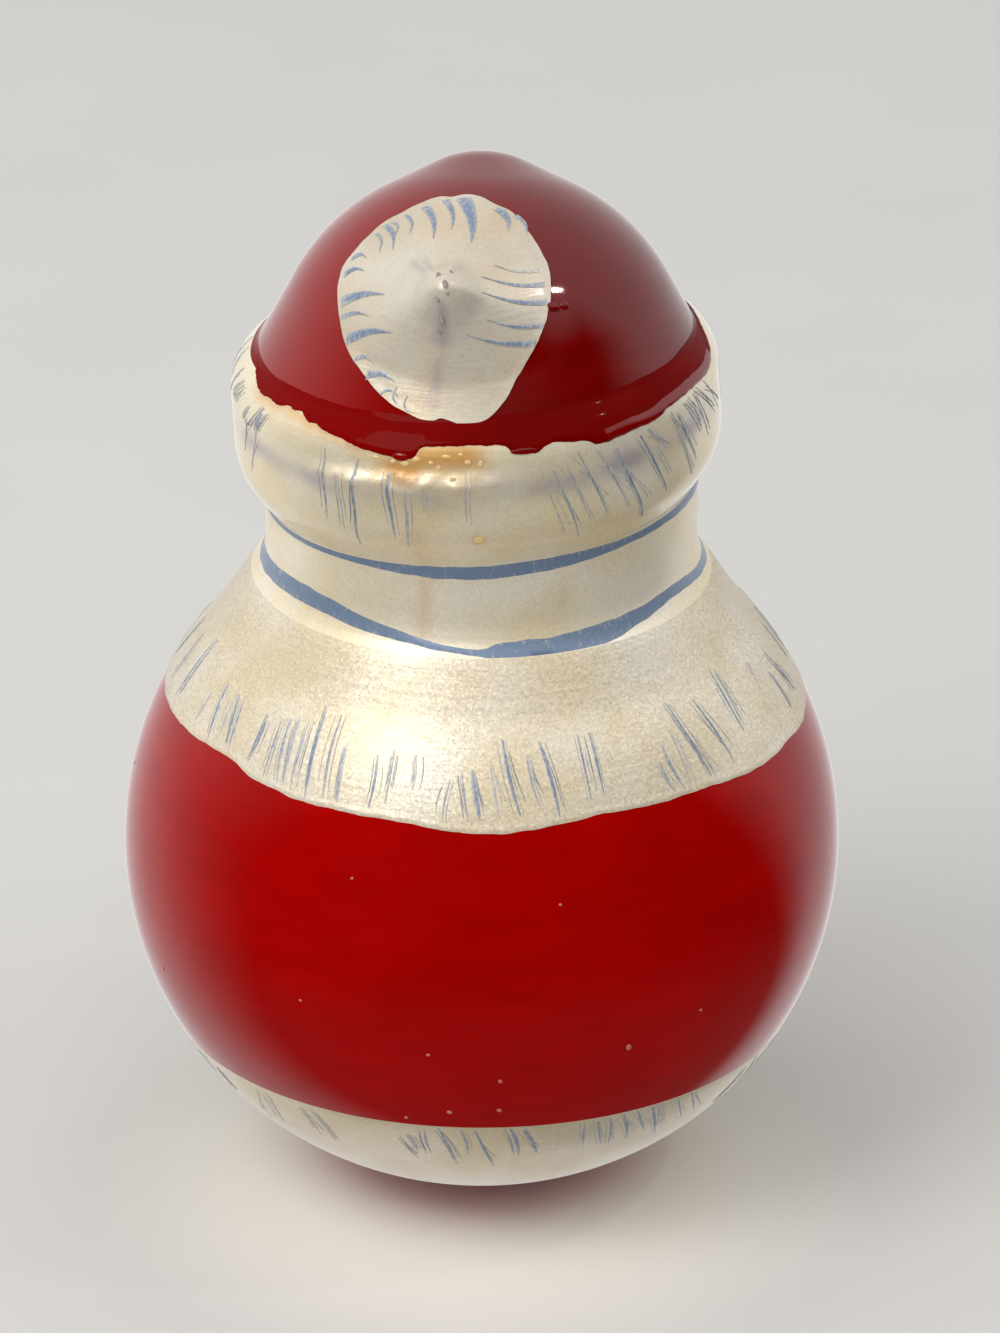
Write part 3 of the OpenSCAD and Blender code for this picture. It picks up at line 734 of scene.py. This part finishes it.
def makeFillet():  # lacquer that filled the seam between hat and brim
    bm, row = spun([(27, 105 + 0.1 * i, i) for i in range(8)], 240, True)
    ends = {}
    for v in bm.verts:
        b = round(bearingOf(v), 3)
        if b not in ends:
            s = alongAt(headLine, 101.5)
            while s < headLine["length"]:
                seam = onHead(b, *placeOn(headLine, s)[:2])
                way = (seam - hatCentre) / mm
                if way.length < hatReach(way.normalized()):
                    break
                s += 0.05
            wide = 0.7 + 0.2 * uneven(seam, 150, 3)
            low = onHead(b, *placeOn(headLine, s - wide)[:2])
            high = onHat((way + Vector((0, 0, 1.6 * wide))).normalized(), -0.02)
            deep = hatCentre + (seam - hatCentre) * 0.96
            ends[b] = (low, seam, high, deep)
        low, seam, high, deep = ends[b]
        t = v[row] / 6
        v.co = deep if t > 1 else low * (1 - t) ** 2 + seam * 2 * t * (1 - t) + high * t * t
    bmesh.ops.recalc_face_normals(bm, faces=bm.faces)
    finishPiece(bm, "lacquerFillet", [runRed], "hat_red")


makeFillet()
print("turned and carved pieces done")


# Brush strokes: thin raised strips of paint that follow the surface

def startStrokes():
    bm = bmesh.new()
    return bm, bm.verts.layers.float.new("cover")


def addStroke(bm, cover, surface, width, wet, shape, steps=9):
    # surface gives a place for t along the stroke, mm aside and mm of lift, shape(t) its share of the width
    made = bmesh.ops.create_grid(bm, x_segments=2, y_segments=steps, size=0.5)["verts"]
    for v in made:
        across, t = v.co.x * 2, min(max(v.co.y + 0.5, 0), 1)
        v[cover] = wet * (0.75 + 0.25 * sin(pi * t)) * (1 - 0.25 * abs(across))
        v.co = surface(t, across * width / 2 * max(shape(t), 0.06), 0.05 - 0.05 * abs(across))


def endStrokes(bm, name, finish=blue, slot="line_blue", thick=0.08, middle=70):
    bmesh.ops.recalc_face_normals(bm, faces=bm.faces)
    for face in bm.faces:
        if face.normal.dot(face.calc_center_median() - Vector((0, 0, middle * mm))) < 0:
            face.normal_flip()
    bmesh.ops.solidify(bm, geom=bm.faces[:], thickness=thick * mm)
    finishPiece(bm, name, [finish], slot, sharp=60)


def onTurned(line, film, b0, z0, b1, z1, bend):  # a stroke between two places on a turned surface
    def surface(t, aside, lift):
        b = b0 + (b1 - b0) * t + bend * sin(pi * t)
        return onLine(line, b, alongAt(line, z0 + (z1 - z0) * t), lift + film, aside)
    return surface


def furTip(t):  # pressed down at the start, lifted off to a point
    return sin(pi * (0.14 + 0.8 * t)) ** 0.6


def wedge(t):
    return (1 - t) ** 0.8


fur = {
    "slim": 0.58, "thin": 0.85,  # share of the width and wetness below that a stroke's middle has
    "brim": [  # bearing and height of both ends, width, wetness
        (36.9, 102.2, 37.8, 93.3, 0.45, 0.75), (32.2, 99.9, 33.3, 92.4, 0.4, 0.6),
        (28, 101.7, 30.5, 90.3, 0.6, 0.85), (19.7, 100.8, 20, 92.2, 0.7, 0.85),
        (16, 99.3, 17.3, 90.8, 0.8, 0.6), (11.1, 99.4, 10.9, 95, 0.4, 0.4),
        (0.9, 100.9, 1.5, 94.1, 0.35, 0.45), (-15.4, 99.7, -20.6, 91.2, 0.35, 0.55),
        (-18.4, 99.8, -24.7, 90.2, 0.5, 0.75), (-21.1, 100.6, -27.4, 92.3, 0.4, 0.6),
        (-24.6, 101.4, -31.9, 92.4, 0.55, 0.8), (-29.4, 101, -37.6, 92.6, 0.45, 0.7),
        (-34.8, 100.5, -43.8, 90.1, 0.7, 0.9), (-42, 101, -50.3, 92.4, 0.8, 0.95),
        (-44.5, 101.4, -50.8, 97.8, 1.4, 0.6), (-46.3, 98.8, -50.9, 94.4, 0.5, 0.6),
        (-53.9, 100.6, -61.1, 92.6, 0.5, 0.75), (-55.4, 101.3, -62.6, 94.2, 0.9, 0.85),
        (-53.1, 101.9, -57.7, 98, 0.8, 0.6), (-58.1, 102, -65.5, 97, 0.6, 0.8),
        (-60.7, 102.3, -66.3, 98.1, 0.5, 0.7), (-63.2, 102.3, -70.5, 95.5, 0.6, 0.85),
        (-65.3, 102.6, -76.3, 97.3, 0.6, 0.8), (-69.9, 102.5, -80.5, 97, 0.7, 0.85),
        (62.5, 100.8, 66.9, 95, 0.5, 0.8), (68.2, 101.3, 70.7, 96.8, 0.4, 0.7),
        (60.7, 103.8, 66.5, 100.1, 0.8, 0.85), (60.4, 103.2, 63.6, 100.2, 0.7, 0.8),
        (58.3, 103.4, 62.1, 100.7, 0.7, 0.85), (67, 103, 69.6, 100.6, 0.8, 0.85),
        (73.7, 104, 77.5, 101.6, 0.9, 0.8), (76.2, 104.3, 80.2, 101.8, 0.8, 0.75),
        (82.2, 104.8, 86.4, 101.3, 0.9, 0.85), (92.8, 105.3, 89.6, 102.2, 0.8, 0.8),
        (99, 105.4, 96.2, 102, 0.7, 0.75)],
    "collar": [
        (87, 68.3, 86.6, 62.8, 0.7, 0.85), (79.1, 69.4, 79, 62.8, 0.6, 0.85),
        (77.9, 69.7, 77.1, 63.4, 0.5, 0.8), (63.2, 68, 59.9, 62.3, 0.7, 0.95),
        (66.6, 66.4, 66.4, 63.1, 1.0, 0.5), (57.8, 67.7, 54.1, 62.7, 0.6, 0.9),
        (56.2, 68, 53.2, 62.4, 0.5, 0.85), (58.7, 67, 57.2, 62.9, 0.4, 0.7),
        (47.7, 67.4, 47.4, 62.6, 0.6, 0.85), (43.8, 67.7, 42.8, 61.6, 0.6, 0.8),
        (41.7, 68, 39.4, 61.6, 0.9, 0.7), (39.8, 68.2, 38.2, 61.7, 1.2, 0.6),
        (37.4, 68.3, 36.3, 61.6, 0.5, 0.75), (34.6, 70, 32.9, 61, 0.7, 0.95),
        (30.6, 69.6, 29.4, 61.5, 0.6, 0.85), (27.4, 67, 26.5, 61.2, 1.0, 0.7),
        (20.5, 66.6, 20.4, 61.4, 0.6, 0.9), (17.4, 67.5, 17.5, 62.1, 0.6, 0.65),
        (12.9, 67.1, 12.8, 63.7, 0.4, 0.4), (5.9, 64.9, 6.9, 60.7, 0.4, 0.7),
        (3.7, 65.5, 2.4, 61, 0.4, 0.75), (1.8, 66, 0.3, 61, 1.2, 0.75), (-1.5, 66.9, -3.1, 61.2, 0.6, 0.5),
        (-4.2, 68.7, -6.8, 61.4, 0.8, 0.95), (-8.8, 67.2, -10.5, 62, 0.5, 0.75),
        (-11.7, 68.3, -13.8, 60.9, 0.8, 0.95), (-19.8, 68.6, -20, 62.2, 0.5, 0.85),
        (-22.4, 68.6, -22.5, 62.3, 0.6, 0.9), (-35, 64.4, -36.4, 61.1, 0.6, 0.75),
        (-36.9, 65.9, -38.7, 61.1, 0.9, 0.7), (-39.8, 67, -40.2, 61, 0.5, 0.6),
        (-42, 69.4, -45.3, 61.3, 0.7, 0.95), (-43, 67.1, -46.4, 61.1, 0.5, 0.6),
        (-49, 68.7, -51.9, 61.6, 0.7, 0.95), (-58.3, 70.2, -57.8, 63.6, 0.7, 0.9),
        (-59.9, 70.1, -58.5, 64.8, 0.5, 0.8), (-60.7, 69.3, -60.7, 64.9, 0.5, 0.65),
        (-71.6, 68.6, -69.9, 65.7, 0.6, 0.5), (-81.6, 67.4, -83.5, 62.2, 0.7, 0.85),
        (-77.3, 66, -77.5, 61.4, 0.7, 0.85), (-83.7, 65.6, -84.6, 61.8, 0.6, 0.8)],
    "hem": [
        (15.5, 18.8, 13.3, 14.4, 0.5, 0.7), (13.7, 19.3, 12.9, 16, 0.9, 0.7),
        (10.5, 20.2, 10.1, 15.8, 0.6, 0.85), (7.9, 20.8, 5.2, 13.6, 0.7, 0.95),
        (3.9, 20.6, 2.9, 16, 0.5, 0.8), (1.2, 20.7, -2.5, 13.2, 0.7, 0.95),
        (-5.1, 20.9, -7.3, 15.6, 1.1, 0.9), (-7.7, 20.8, -11, 15.7, 1.2, 0.85),
        (-18.9, 20.7, -20.4, 16, 0.6, 0.8), (-21.4, 20.7, -24.5, 15.6, 0.6, 0.85),
        (-24, 20.6, -26.4, 15.3, 0.6, 0.85), (-26.5, 20.9, -30.7, 15.3, 0.7, 0.9),
        (-29.4, 20.9, -34.1, 16.1, 0.6, 0.85), (-32.6, 20.9, -38.7, 14.3, 0.9, 0.95),
        (-33.7, 20.9, -36.8, 16.4, 0.5, 0.8), (-38.3, 20.9, -44.1, 15.9, 0.7, 0.85),
        (-41.7, 20.9, -47.5, 16.1, 0.7, 0.85), (35.2, 20.3, 34.6, 15.4, 0.5, 0.75),
        (33.2, 20.3, 31.6, 14.9, 0.5, 0.7), (43.8, 20.3, 45, 15, 0.5, 0.6),
        (46.3, 20.3, 50.2, 14.2, 0.5, 0.55)],
    "pompom": [  # turn and angle from the tip of both ends, width, wetness
        (310.7, 33.5, 303.5, 27.1, 0.6, 0.85), (316.9, 33.6, 308.9, 23.6, 1.0, 0.9),
        (320.3, 33.1, 316.8, 27.8, 0.6, 0.8), (327.5, 32.8, 324.4, 25, 0.7, 0.85),
        (337.9, 33, 337.9, 19.2, 1.2, 0.95), (347.7, 34.1, 352, 21.6, 1.0, 0.9),
        (356.3, 34.4, 11.5, 16.5, 2.0, 0.95), (14.1, 32.4, 27.4, 26.4, 1.4, 0.9),
        (23.5, 32.3, 36.4, 29, 0.9, 0.85), (294, 34.3, 297.2, 29.8, 0.8, 0.85),
        (285.5, 34, 289.5, 27.9, 0.9, 0.9), (271, 32, 272.8, 17.8, 1.5, 0.95),
        (262.5, 31.7, 258, 22.4, 0.8, 0.85), (250, 30.6, 235.9, 17, 1.5, 0.95),
        (237.9, 30.2, 228.5, 26.3, 0.8, 0.8), (226.2, 29.7, 210.9, 25.6, 1.2, 0.9),
        (213.5, 30.2, 204.6, 28.3, 0.6, 0.8), (202.5, 30.1, 207.3, 26.6, 0.5, 0.75),
        (195.2, 30.6, 199.3, 27.2, 0.5, 0.75), (60.3, 25, 44.4, 14.2, 0.5, 0.5),
        (70.2, 25.4, 54.4, 9.4, 0.7, 0.85), (81.8, 25.4, 81.8, 8.3, 0.9, 0.9),
        (96.9, 25.3, 116.2, 11.5, 0.7, 0.85), (109.7, 25, 149.2, 11, 0.9, 0.9)]}


def makeFur():
    chance = random.Random(7)
    spread = {  # strokes of the unseen side: where they start, how long, how many, first and last bearing
        "brim": (101.5, 8.5, 22, 106, 274), "collar": (68.3, 6, 40, 96, 268), "hem": (20.6, 5.2, 46, 58, 306)}
    lines = {"brim": (headLine, 0.0), "collar": (bodyLine, body["film"]), "hem": (baseLine, base["film"])}
    for name, (line, film) in lines.items():
        bm, cover = startStrokes()
        strokes = list(fur[name])
        steps = 24 if name == "brim" else 9  # the brim is the least even
        top, drop, count, first, last = spread[name]
        for i in range(count):
            b = first + (last - first) * (i + 0.5 + chance.uniform(-0.6, 0.6)) / count
            z = top + chance.uniform(-1, 0.2)
            lean = chance.uniform(-3, 3)
            strokes.append((b, z, b + lean, z - drop * chance.uniform(0.6, 1.05), chance.uniform(0.4, 1.0),
                            chance.uniform(0.55, 0.95)))
        for b0, z0, b1, z1, width, wet in strokes:
            bend = chance.uniform(-0.35, 0.35)
            middle = onTurned(line, film, b0, z0, b1, z1, bend)
            addStroke(bm, cover, middle, width * fur["slim"], wet * fur["thin"], furTip, steps)
            for _ in range(chance.choice((2, 3, 3, 4))):  # single hairs leave fine lines beside it
                aside, short = chance.uniform(-1.4, 1.4), chance.uniform(0, 0.3) * (z0 - z1)
                top = z0 - short * chance.random()
                hair = onTurned(line, film, b0 + aside, top, b1 + aside, z1 + short, bend)
                thick = chance.uniform(0.09, 0.2)
                addStroke(bm, cover, hair, thick, wet * chance.uniform(0.5, 0.95), furTip, steps)
        endStrokes(bm, name + "Fur")
    bm, cover = startStrokes()
    for f0, a0, f1, a1, width, wet in fur["pompom"]:
        start, end = tipPolar(f0, a0), tipPolar(f1, a1)
        side = start.cross(end).normalized()

        def surface(t, aside, lift):
            way = start.lerp(end, t) + side * (aside / hat["crownR"] + 0.02 * sin(pi * t))
            way.normalize()
            return onHat(way, tipLift(way) + 0.07 + lift)
        addStroke(bm, cover, surface, width * 0.9, wet * 0.9, wedge)
    endStrokes(bm, "pompomFur")


makeFur()

# Two blue lines round the neck, each drawn in a few pulls of the brush
neckLines = {
    "lower": {
        "height": [
            (80, 79.05), (57, 79.55), (43, 79.4), (35, 78.9), (21, 78.2), (10.5, 77.5), (2, 77.15),
            (-2, 77.1), (-10, 77.15), (-20, 77.25), (-32, 77.65), (-46, 78.3), (-61, 78.85), (-77, 78.2),
            (-95, 77.8), (-120, 78.3), (-150, 78), (180, 77.6), (150, 78), (120, 78.5), (98, 78.9)],
        "width": [
            (80, 1.9), (57, 2.1), (40, 1.8), (25, 1.2), (12, 0.7), (2, 0.6), (-1, 0.9), (-4, 1.9),
            (-15, 2.1), (-32, 2.1), (-46, 1.5), (-60, 1.3), (-80, 1.1), (-120, 1.5), (180, 1.3), (120, 1.6)]},
    "upper": {
        "height": [
            (74, 87.3), (56, 87.3), (35, 87.25), (26, 87.1), (10, 86.75), (-2, 86.7), (-13, 86.85),
            (-26, 86.9), (-40, 87), (-58, 87.1), (-75, 87.15), (-110, 87), (180, 86.9), (110, 87.1)],
        "width": [
            (71, 0.7), (35, 1.0), (20, 1.4), (5, 1.6), (-10, 1.6), (-25, 1.3), (-45, 0.8), (-90, 1.2),
            (180, 1.2), (110, 1.0)]}}


def makeNeckLines():
    bm, cover = startStrokes()
    for line in neckLines.values():
        height, width = closedCurve(line["height"]), closedCurve(line["width"])
        made = bmesh.ops.create_grid(bm, x_segments=4, y_segments=300, size=0.5)["verts"]
        for v in made:
            across, b = v.co.x * 2, v.co.y * 360
            wobble = 1 + 0.14 * noise.noise((b * 0.2, across * 2, 6))
            middle = height(b) + across * width(b) / 2 * wobble
            s = alongAt(headLine, min(max(middle, 76.65), 87.6))
            v[cover] = 0.92 - 0.15 * abs(across) + 0.2 * noise.noise((b * 0.5, across * 3, 8))
            v.co = onLine(headLine, b, s, 0.06 - 0.05 * abs(across))
    bmesh.ops.remove_doubles(bm, verts=bm.verts, dist=1e-6)
    endStrokes(bm, "neckLines")


makeNeckLines()
print("brush work done")


# Lacquer drops, varnish beads and dust nibs: small set drops that sit on the surface

def addDrop(bm, place, out, along, sizes):
    side = out.cross(along).normalized()
    along = side.cross(out).normalized()
    turn = Matrix((along, side, out)).transposed().to_4x4()
    size = Matrix.Diagonal((*[s * mm for s in sizes], 1))
    bmesh.ops.create_icosphere(bm, subdivisions=3, radius=1, matrix=Matrix.Translation(place) @ turn @ size)


def dropOn(bm, line, b, z, long, wide, high, slant=0):
    r, z, outR, outZ = placeOn(line, alongAt(line, z))
    a = radians(b)
    out = Vector((outR * sin(a), outR * cos(a), outZ))
    level = Vector((cos(a), -sin(a), 0))
    along = Matrix.Rotation(radians(slant), 3, out) @ level
    addDrop(bm, line["place"](b, r, z), out, along, (long, wide, high))


drops = {
    "varnish": [
        (16.2, 101.7, 0.5, 0.35, 0.14), (13.4, 102.3, 0.45, 0.3, 0.14), (8.2, 101.2, 0.35, 0.45, 0.14),
        (5, 100.1, 0.4, 0.4, 0.16), (1.4, 101.9, 0.4, 0.3, 0.13), (-1.5, 101.6, 0.3, 0.4, 0.13),
        (19, 101.9, 0.35, 0.25, 0.12), (10, 101.9, 0.3, 0.25, 0.13), (6.4, 102.6, 0.5, 0.25, 0.12),
        (3, 102.8, 0.3, 0.2, 0.12), (23.4, 102.2, 0.4, 0.2, 0.1), (-0.1, 92, 0.6, 0.5, 0.08)],
    "lacquer": [(17.2, 102.5, 1.0, 0.5, 0.3), (-12, 102.6, 1.7, 0.4, 0.25)],
    "tip": [(84, 27.2, 0.9, 0.35), (82, 30.4, 0.6, 0.3)],
    "marks": [
        (90, 0.4, 0.55, 0.34), (326, 2.6, 0.5, 0.3), (204, 3, 0.6, 0.24), (150, 2, 0.3, 0.2),
        (17, 3.6, 0.4, 0.16), (183, 6.5, 0.9, 0.2), (186, 9, 0.6, 0.14)],
    "nibs": [
        (-24.3, 31.9, 0.34), (8.6, 32.6, 0.2), (-3, 28.9, 0.24), (5.6, 23.8, 0.26), (-3, 24.2, 0.26),
        (13.5, 22.3, 0.2), (64.9, 32.2, 0.24), (21.6, 53.7, 0.16), (-12.7, 51.5, 0.16), (-37.4, 34.5, 0.18),
        (29.8, 37.5, 0.16)]}


def makeDrops():
    bm = bmesh.new()
    for drop in drops["varnish"]:
        dropOn(bm, headLine, *drop)
    finishPiece(bm, "varnishBeads", [varnish], "pearl_white")
    bm = bmesh.new()
    for drop in drops["lacquer"]:
        dropOn(bm, headLine, *drop)
    for turn, angle, long, high in drops["tip"]:
        way = tipPolar(turn, angle)
        addDrop(bm, onHat(way, 0), way, Vector((1, 0, 0)), (long, 0.6, high))
    finishPiece(bm, "lacquerDrops", [hatRed], "hat_red")
    bm = bmesh.new()
    for turn, angle, long, wide in drops["marks"]:
        way = tipPolar(turn, angle)
        addDrop(bm, onHat(way, tipLift(way) - 0.02), way, Vector((0.3, 0, 1)), (long, wide, 0.07))
    finishPiece(bm, "tipMarks", [smudge], "pearl_white")
    bm = bmesh.new()
    chance = random.Random(3)
    spots = drops["nibs"] + [(chance.uniform(85, 275), chance.uniform(24, 57), chance.uniform(0.12, 0.26))
                             for _ in range(16)]
    for b, z, size in spots:
        dropOn(bm, bodyLine, b, z, size * 1.3, size, size * 0.6, chance.uniform(0, 180))
    finishPiece(bm, "dustNibs", [dust], "coat_red")


makeDrops()


# Face: a plain calm doll's face under the brim at the front, which the photograph does not show

def addPatch(bm, cover, film, b, z, wide, high, dome=0.03, blush=None):
    for v in bmesh.ops.create_grid(bm, x_segments=16, y_segments=16, size=1)["verts"]:
        x, y = v.co.x, v.co.y
        x, y = x * sqrt(1 - y * y / 2), y * sqrt(1 - x * x / 2)
        lift = film + dome * (1 - min(x * x + y * y, 1))
        v[cover] = blush(x * wide, y * high) if blush else 0
        v.co = onLine(headLine, b, alongAt(headLine, z + y * high), lift, x * wide)


def addBow(bm, at, z, rise, thick, ends, wide, lift, steps):  # a brow or the mouth, fine at both ends
    for v in bmesh.ops.create_grid(bm, x_segments=2, y_segments=steps, size=0.5)["verts"]:
        t, across = v.co.y + 0.5, v.co.x
        swell = sin(pi * (ends + (1 - 2 * ends) * t))
        h = z + rise * sin(pi * t) + across * thick * swell
        r, h = placeOn(headLine, alongAt(headLine, h))[:2]
        v.co = onHead(at + (t - 0.5) * wide, r + lift, h)


face = {"bearing": 180, "z": 82.6, "wide": 12.5, "high": 4.4, "eyeApart": 4.3, "eyeZ": 83.7, "browZ": 85.4,
        "noseZ": 82, "mouthZ": 80.1, "cheekApart": 7.4, "cheekZ": 81.4}


def cheeks(x, y):
    gap, up = face["cheekApart"], face["cheekZ"] - face["z"]
    return 0.75 * sum(exp(-((x - s * gap) ** 2 + (y - up) ** 2) / 2.6) for s in (-1, 1))


def makeFace():
    b, z = face["bearing"], face["z"]
    ends = ("pearl_white", 0.06, z)  # slot, thickness, height that the paint faces away from
    eyes = [b + degrees(side * face["eyeApart"] / head["neckR"]) for side in (-1, 1)]
    bm, cover = startStrokes()
    addPatch(bm, cover, 0.05, b, z, face["wide"], face["high"], blush=cheeks)
    addPatch(bm, cover, 0.08, b, face["noseZ"], 0.95, 0.85, dome=0.7)
    endStrokes(bm, "faceSkin", skin, *ends)
    bm, cover = startStrokes()
    for at in eyes:
        addPatch(bm, cover, 0.09, at, face["eyeZ"], 0.8, 1.1, dome=0.1)
        addBow(bm, at, face["browZ"], 0.5, 0.45, 0.1, 7, 0.1, 9)
    endStrokes(bm, "faceEyes", dark, *ends)
    bm, cover = startStrokes()
    for at in eyes:
        addPatch(bm, cover, 0.2, at - 0.7, face["eyeZ"] + 0.42, 0.26, 0.26)
    endStrokes(bm, "eyeLights", white, *ends)
    bm, cover = startStrokes()
    addBow(bm, b, face["mouthZ"], -0.55, 0.7, 0.08, 9, 0.11, 13)
    endStrokes(bm, "faceMouth", lips, *ends)


makeFace()
print("small work done")


# Floor and light: pale paper under soft light from above and both sides, open and dark towards the camera
studio = {"sides": 0.95, "open": 0.012, "floorR": 9.0, "pool": (0.0, 0.012, 0.0), "litPoolR": (0.014, 0.05),
          "left": (1.2, 2.25, 1.0), "leftLean": 0.9, "right": (-1.52, -2.02, 1.0), "rightLean": -0.8,
          "above": (0.45, 0.75, 1.0), "below": (-0.3, -0.7, 0.15), "aimZ": 0.06,
          "lamps": [  # bearing and rise in degrees, distance and size in metres, watts, seen in the gloss
              ("keyLamp", 46, 48, 1.1, 0.55, 4.4, True), ("glintLamp", -78, 52, 1.1, 0.035, 0.5, True),
              ("fillLamp", 24, 26, 1.6, 1.6, 11.5, False), ("sideFill", -42, 24, 1.6, 1.6, 5, False),
              ("leftFill", 88, 32, 1.4, 1.2, 3, False)]}
bm = bmesh.new()
bmesh.ops.create_circle(bm, cap_ends=True, radius=studio["floorR"], segments=96)
mesh = bpy.data.meshes.new("paperFloor")
bm.to_mesh(mesh)
bm.free()
floor = bpy.data.objects.new("paperFloor", mesh)
scene.collection.objects.link(floor)
floor.visible_glossy = False  # the lacquer mirrors a dark room in front of it, not the paper
# matt studio paper: a fine tooth and no gloss, painted paler in a small pool round the toy's foot, which is
# painted light over its contact shadow
paper, tree, shader, place = newFinish("studioPaper")
tooth = addNode(tree, "TexNoise", {"Scale": 1 / (40 * mm), "Detail": 3.0, "Vector": place})[0]
tone = addNode(tree, "Mix", {"data_type": "RGBA", 0: tooth, 6: linear("#bfbebb"), 7: linear("#c5c4c0")})[2]
far = addNode(tree, "VectorMath", {"operation": "DISTANCE", 0: place, 1: studio["pool"]})["Value"]
share = addNode(tree, "MapRange", {
    "interpolation_type": "SMOOTHSTEP", "Value": far, "From Min": studio["litPoolR"][0],
    "From Max": studio["litPoolR"][1]})[0]
# painted light: the paper is paler close round the toy's foot, where its shadow falls
pale = addNode(tree, "Mix", {"data_type": "RGBA", 0: share, 6: linear("#e8e2da"), 7: tone})[2]
fill(tree, shader, {"Base Color": pale, "Roughness": 0.9, "Specular IOR Level": 0.1})
mesh.materials.append(paper)

world = bpy.data.worlds.new("softRoom")
scene.world = world
world.use_nodes = True
tree = world.node_tree
way = addNode(tree, "SeparateXYZ", {0: addNode(tree, "TexCoord", {})["Generated"]})
high = way["Z"]
swing = addNode(tree, "Math", {"operation": "ARCTAN2", 0: way["X"], 1: way["Y"]})[0]
raised = addNode(tree, "MapRange", {"Value": high})[0]
leftEdge = addNode(tree, "Math", {"operation": "MULTIPLY_ADD", 0: raised, 1: studio["leftLean"], 2: swing})[0]
rightEdge = addNode(tree, "Math", {"operation": "MULTIPLY_ADD", 0: high, 1: studio["rightLean"], 2: swing})[0]
lit = 0.0
for key, value in (("left", leftEdge), ("right", rightEdge), ("above", high), ("below", high)):
    start, end, most = studio[key]
    edge = addNode(tree, "MapRange", {
        "interpolation_type": "SMOOTHSTEP", "Value": value, "From Min": start, "From Max": end,
        "To Max": most})[0]
    lit = addNode(tree, "Math", {"operation": "MAXIMUM", 0: lit, 1: edge})[0]
level = addNode(tree, "MapRange", {"Value": lit, "To Min": studio["open"], "To Max": studio["sides"]})[0]
fill(tree, tree.nodes["Background"], {"Color": level})

for name, bearing, rise, far, size, power, mirrored in studio["lamps"]:
    lamp = bpy.data.lights.new(name, "AREA")
    lamp.size = size
    lamp.energy = power
    stand = bpy.data.objects.new(name, lamp)
    scene.collection.objects.link(stand)
    out = around(bearing, cos(radians(rise)), sin(radians(rise))) / mm
    stand.location = out * far + Vector((0, 0, studio["aimZ"]))
    stand.visible_glossy = mirrored
    stand.rotation_euler = (-out).to_track_quat("-Z", "Y").to_euler()
print("floor and light done")
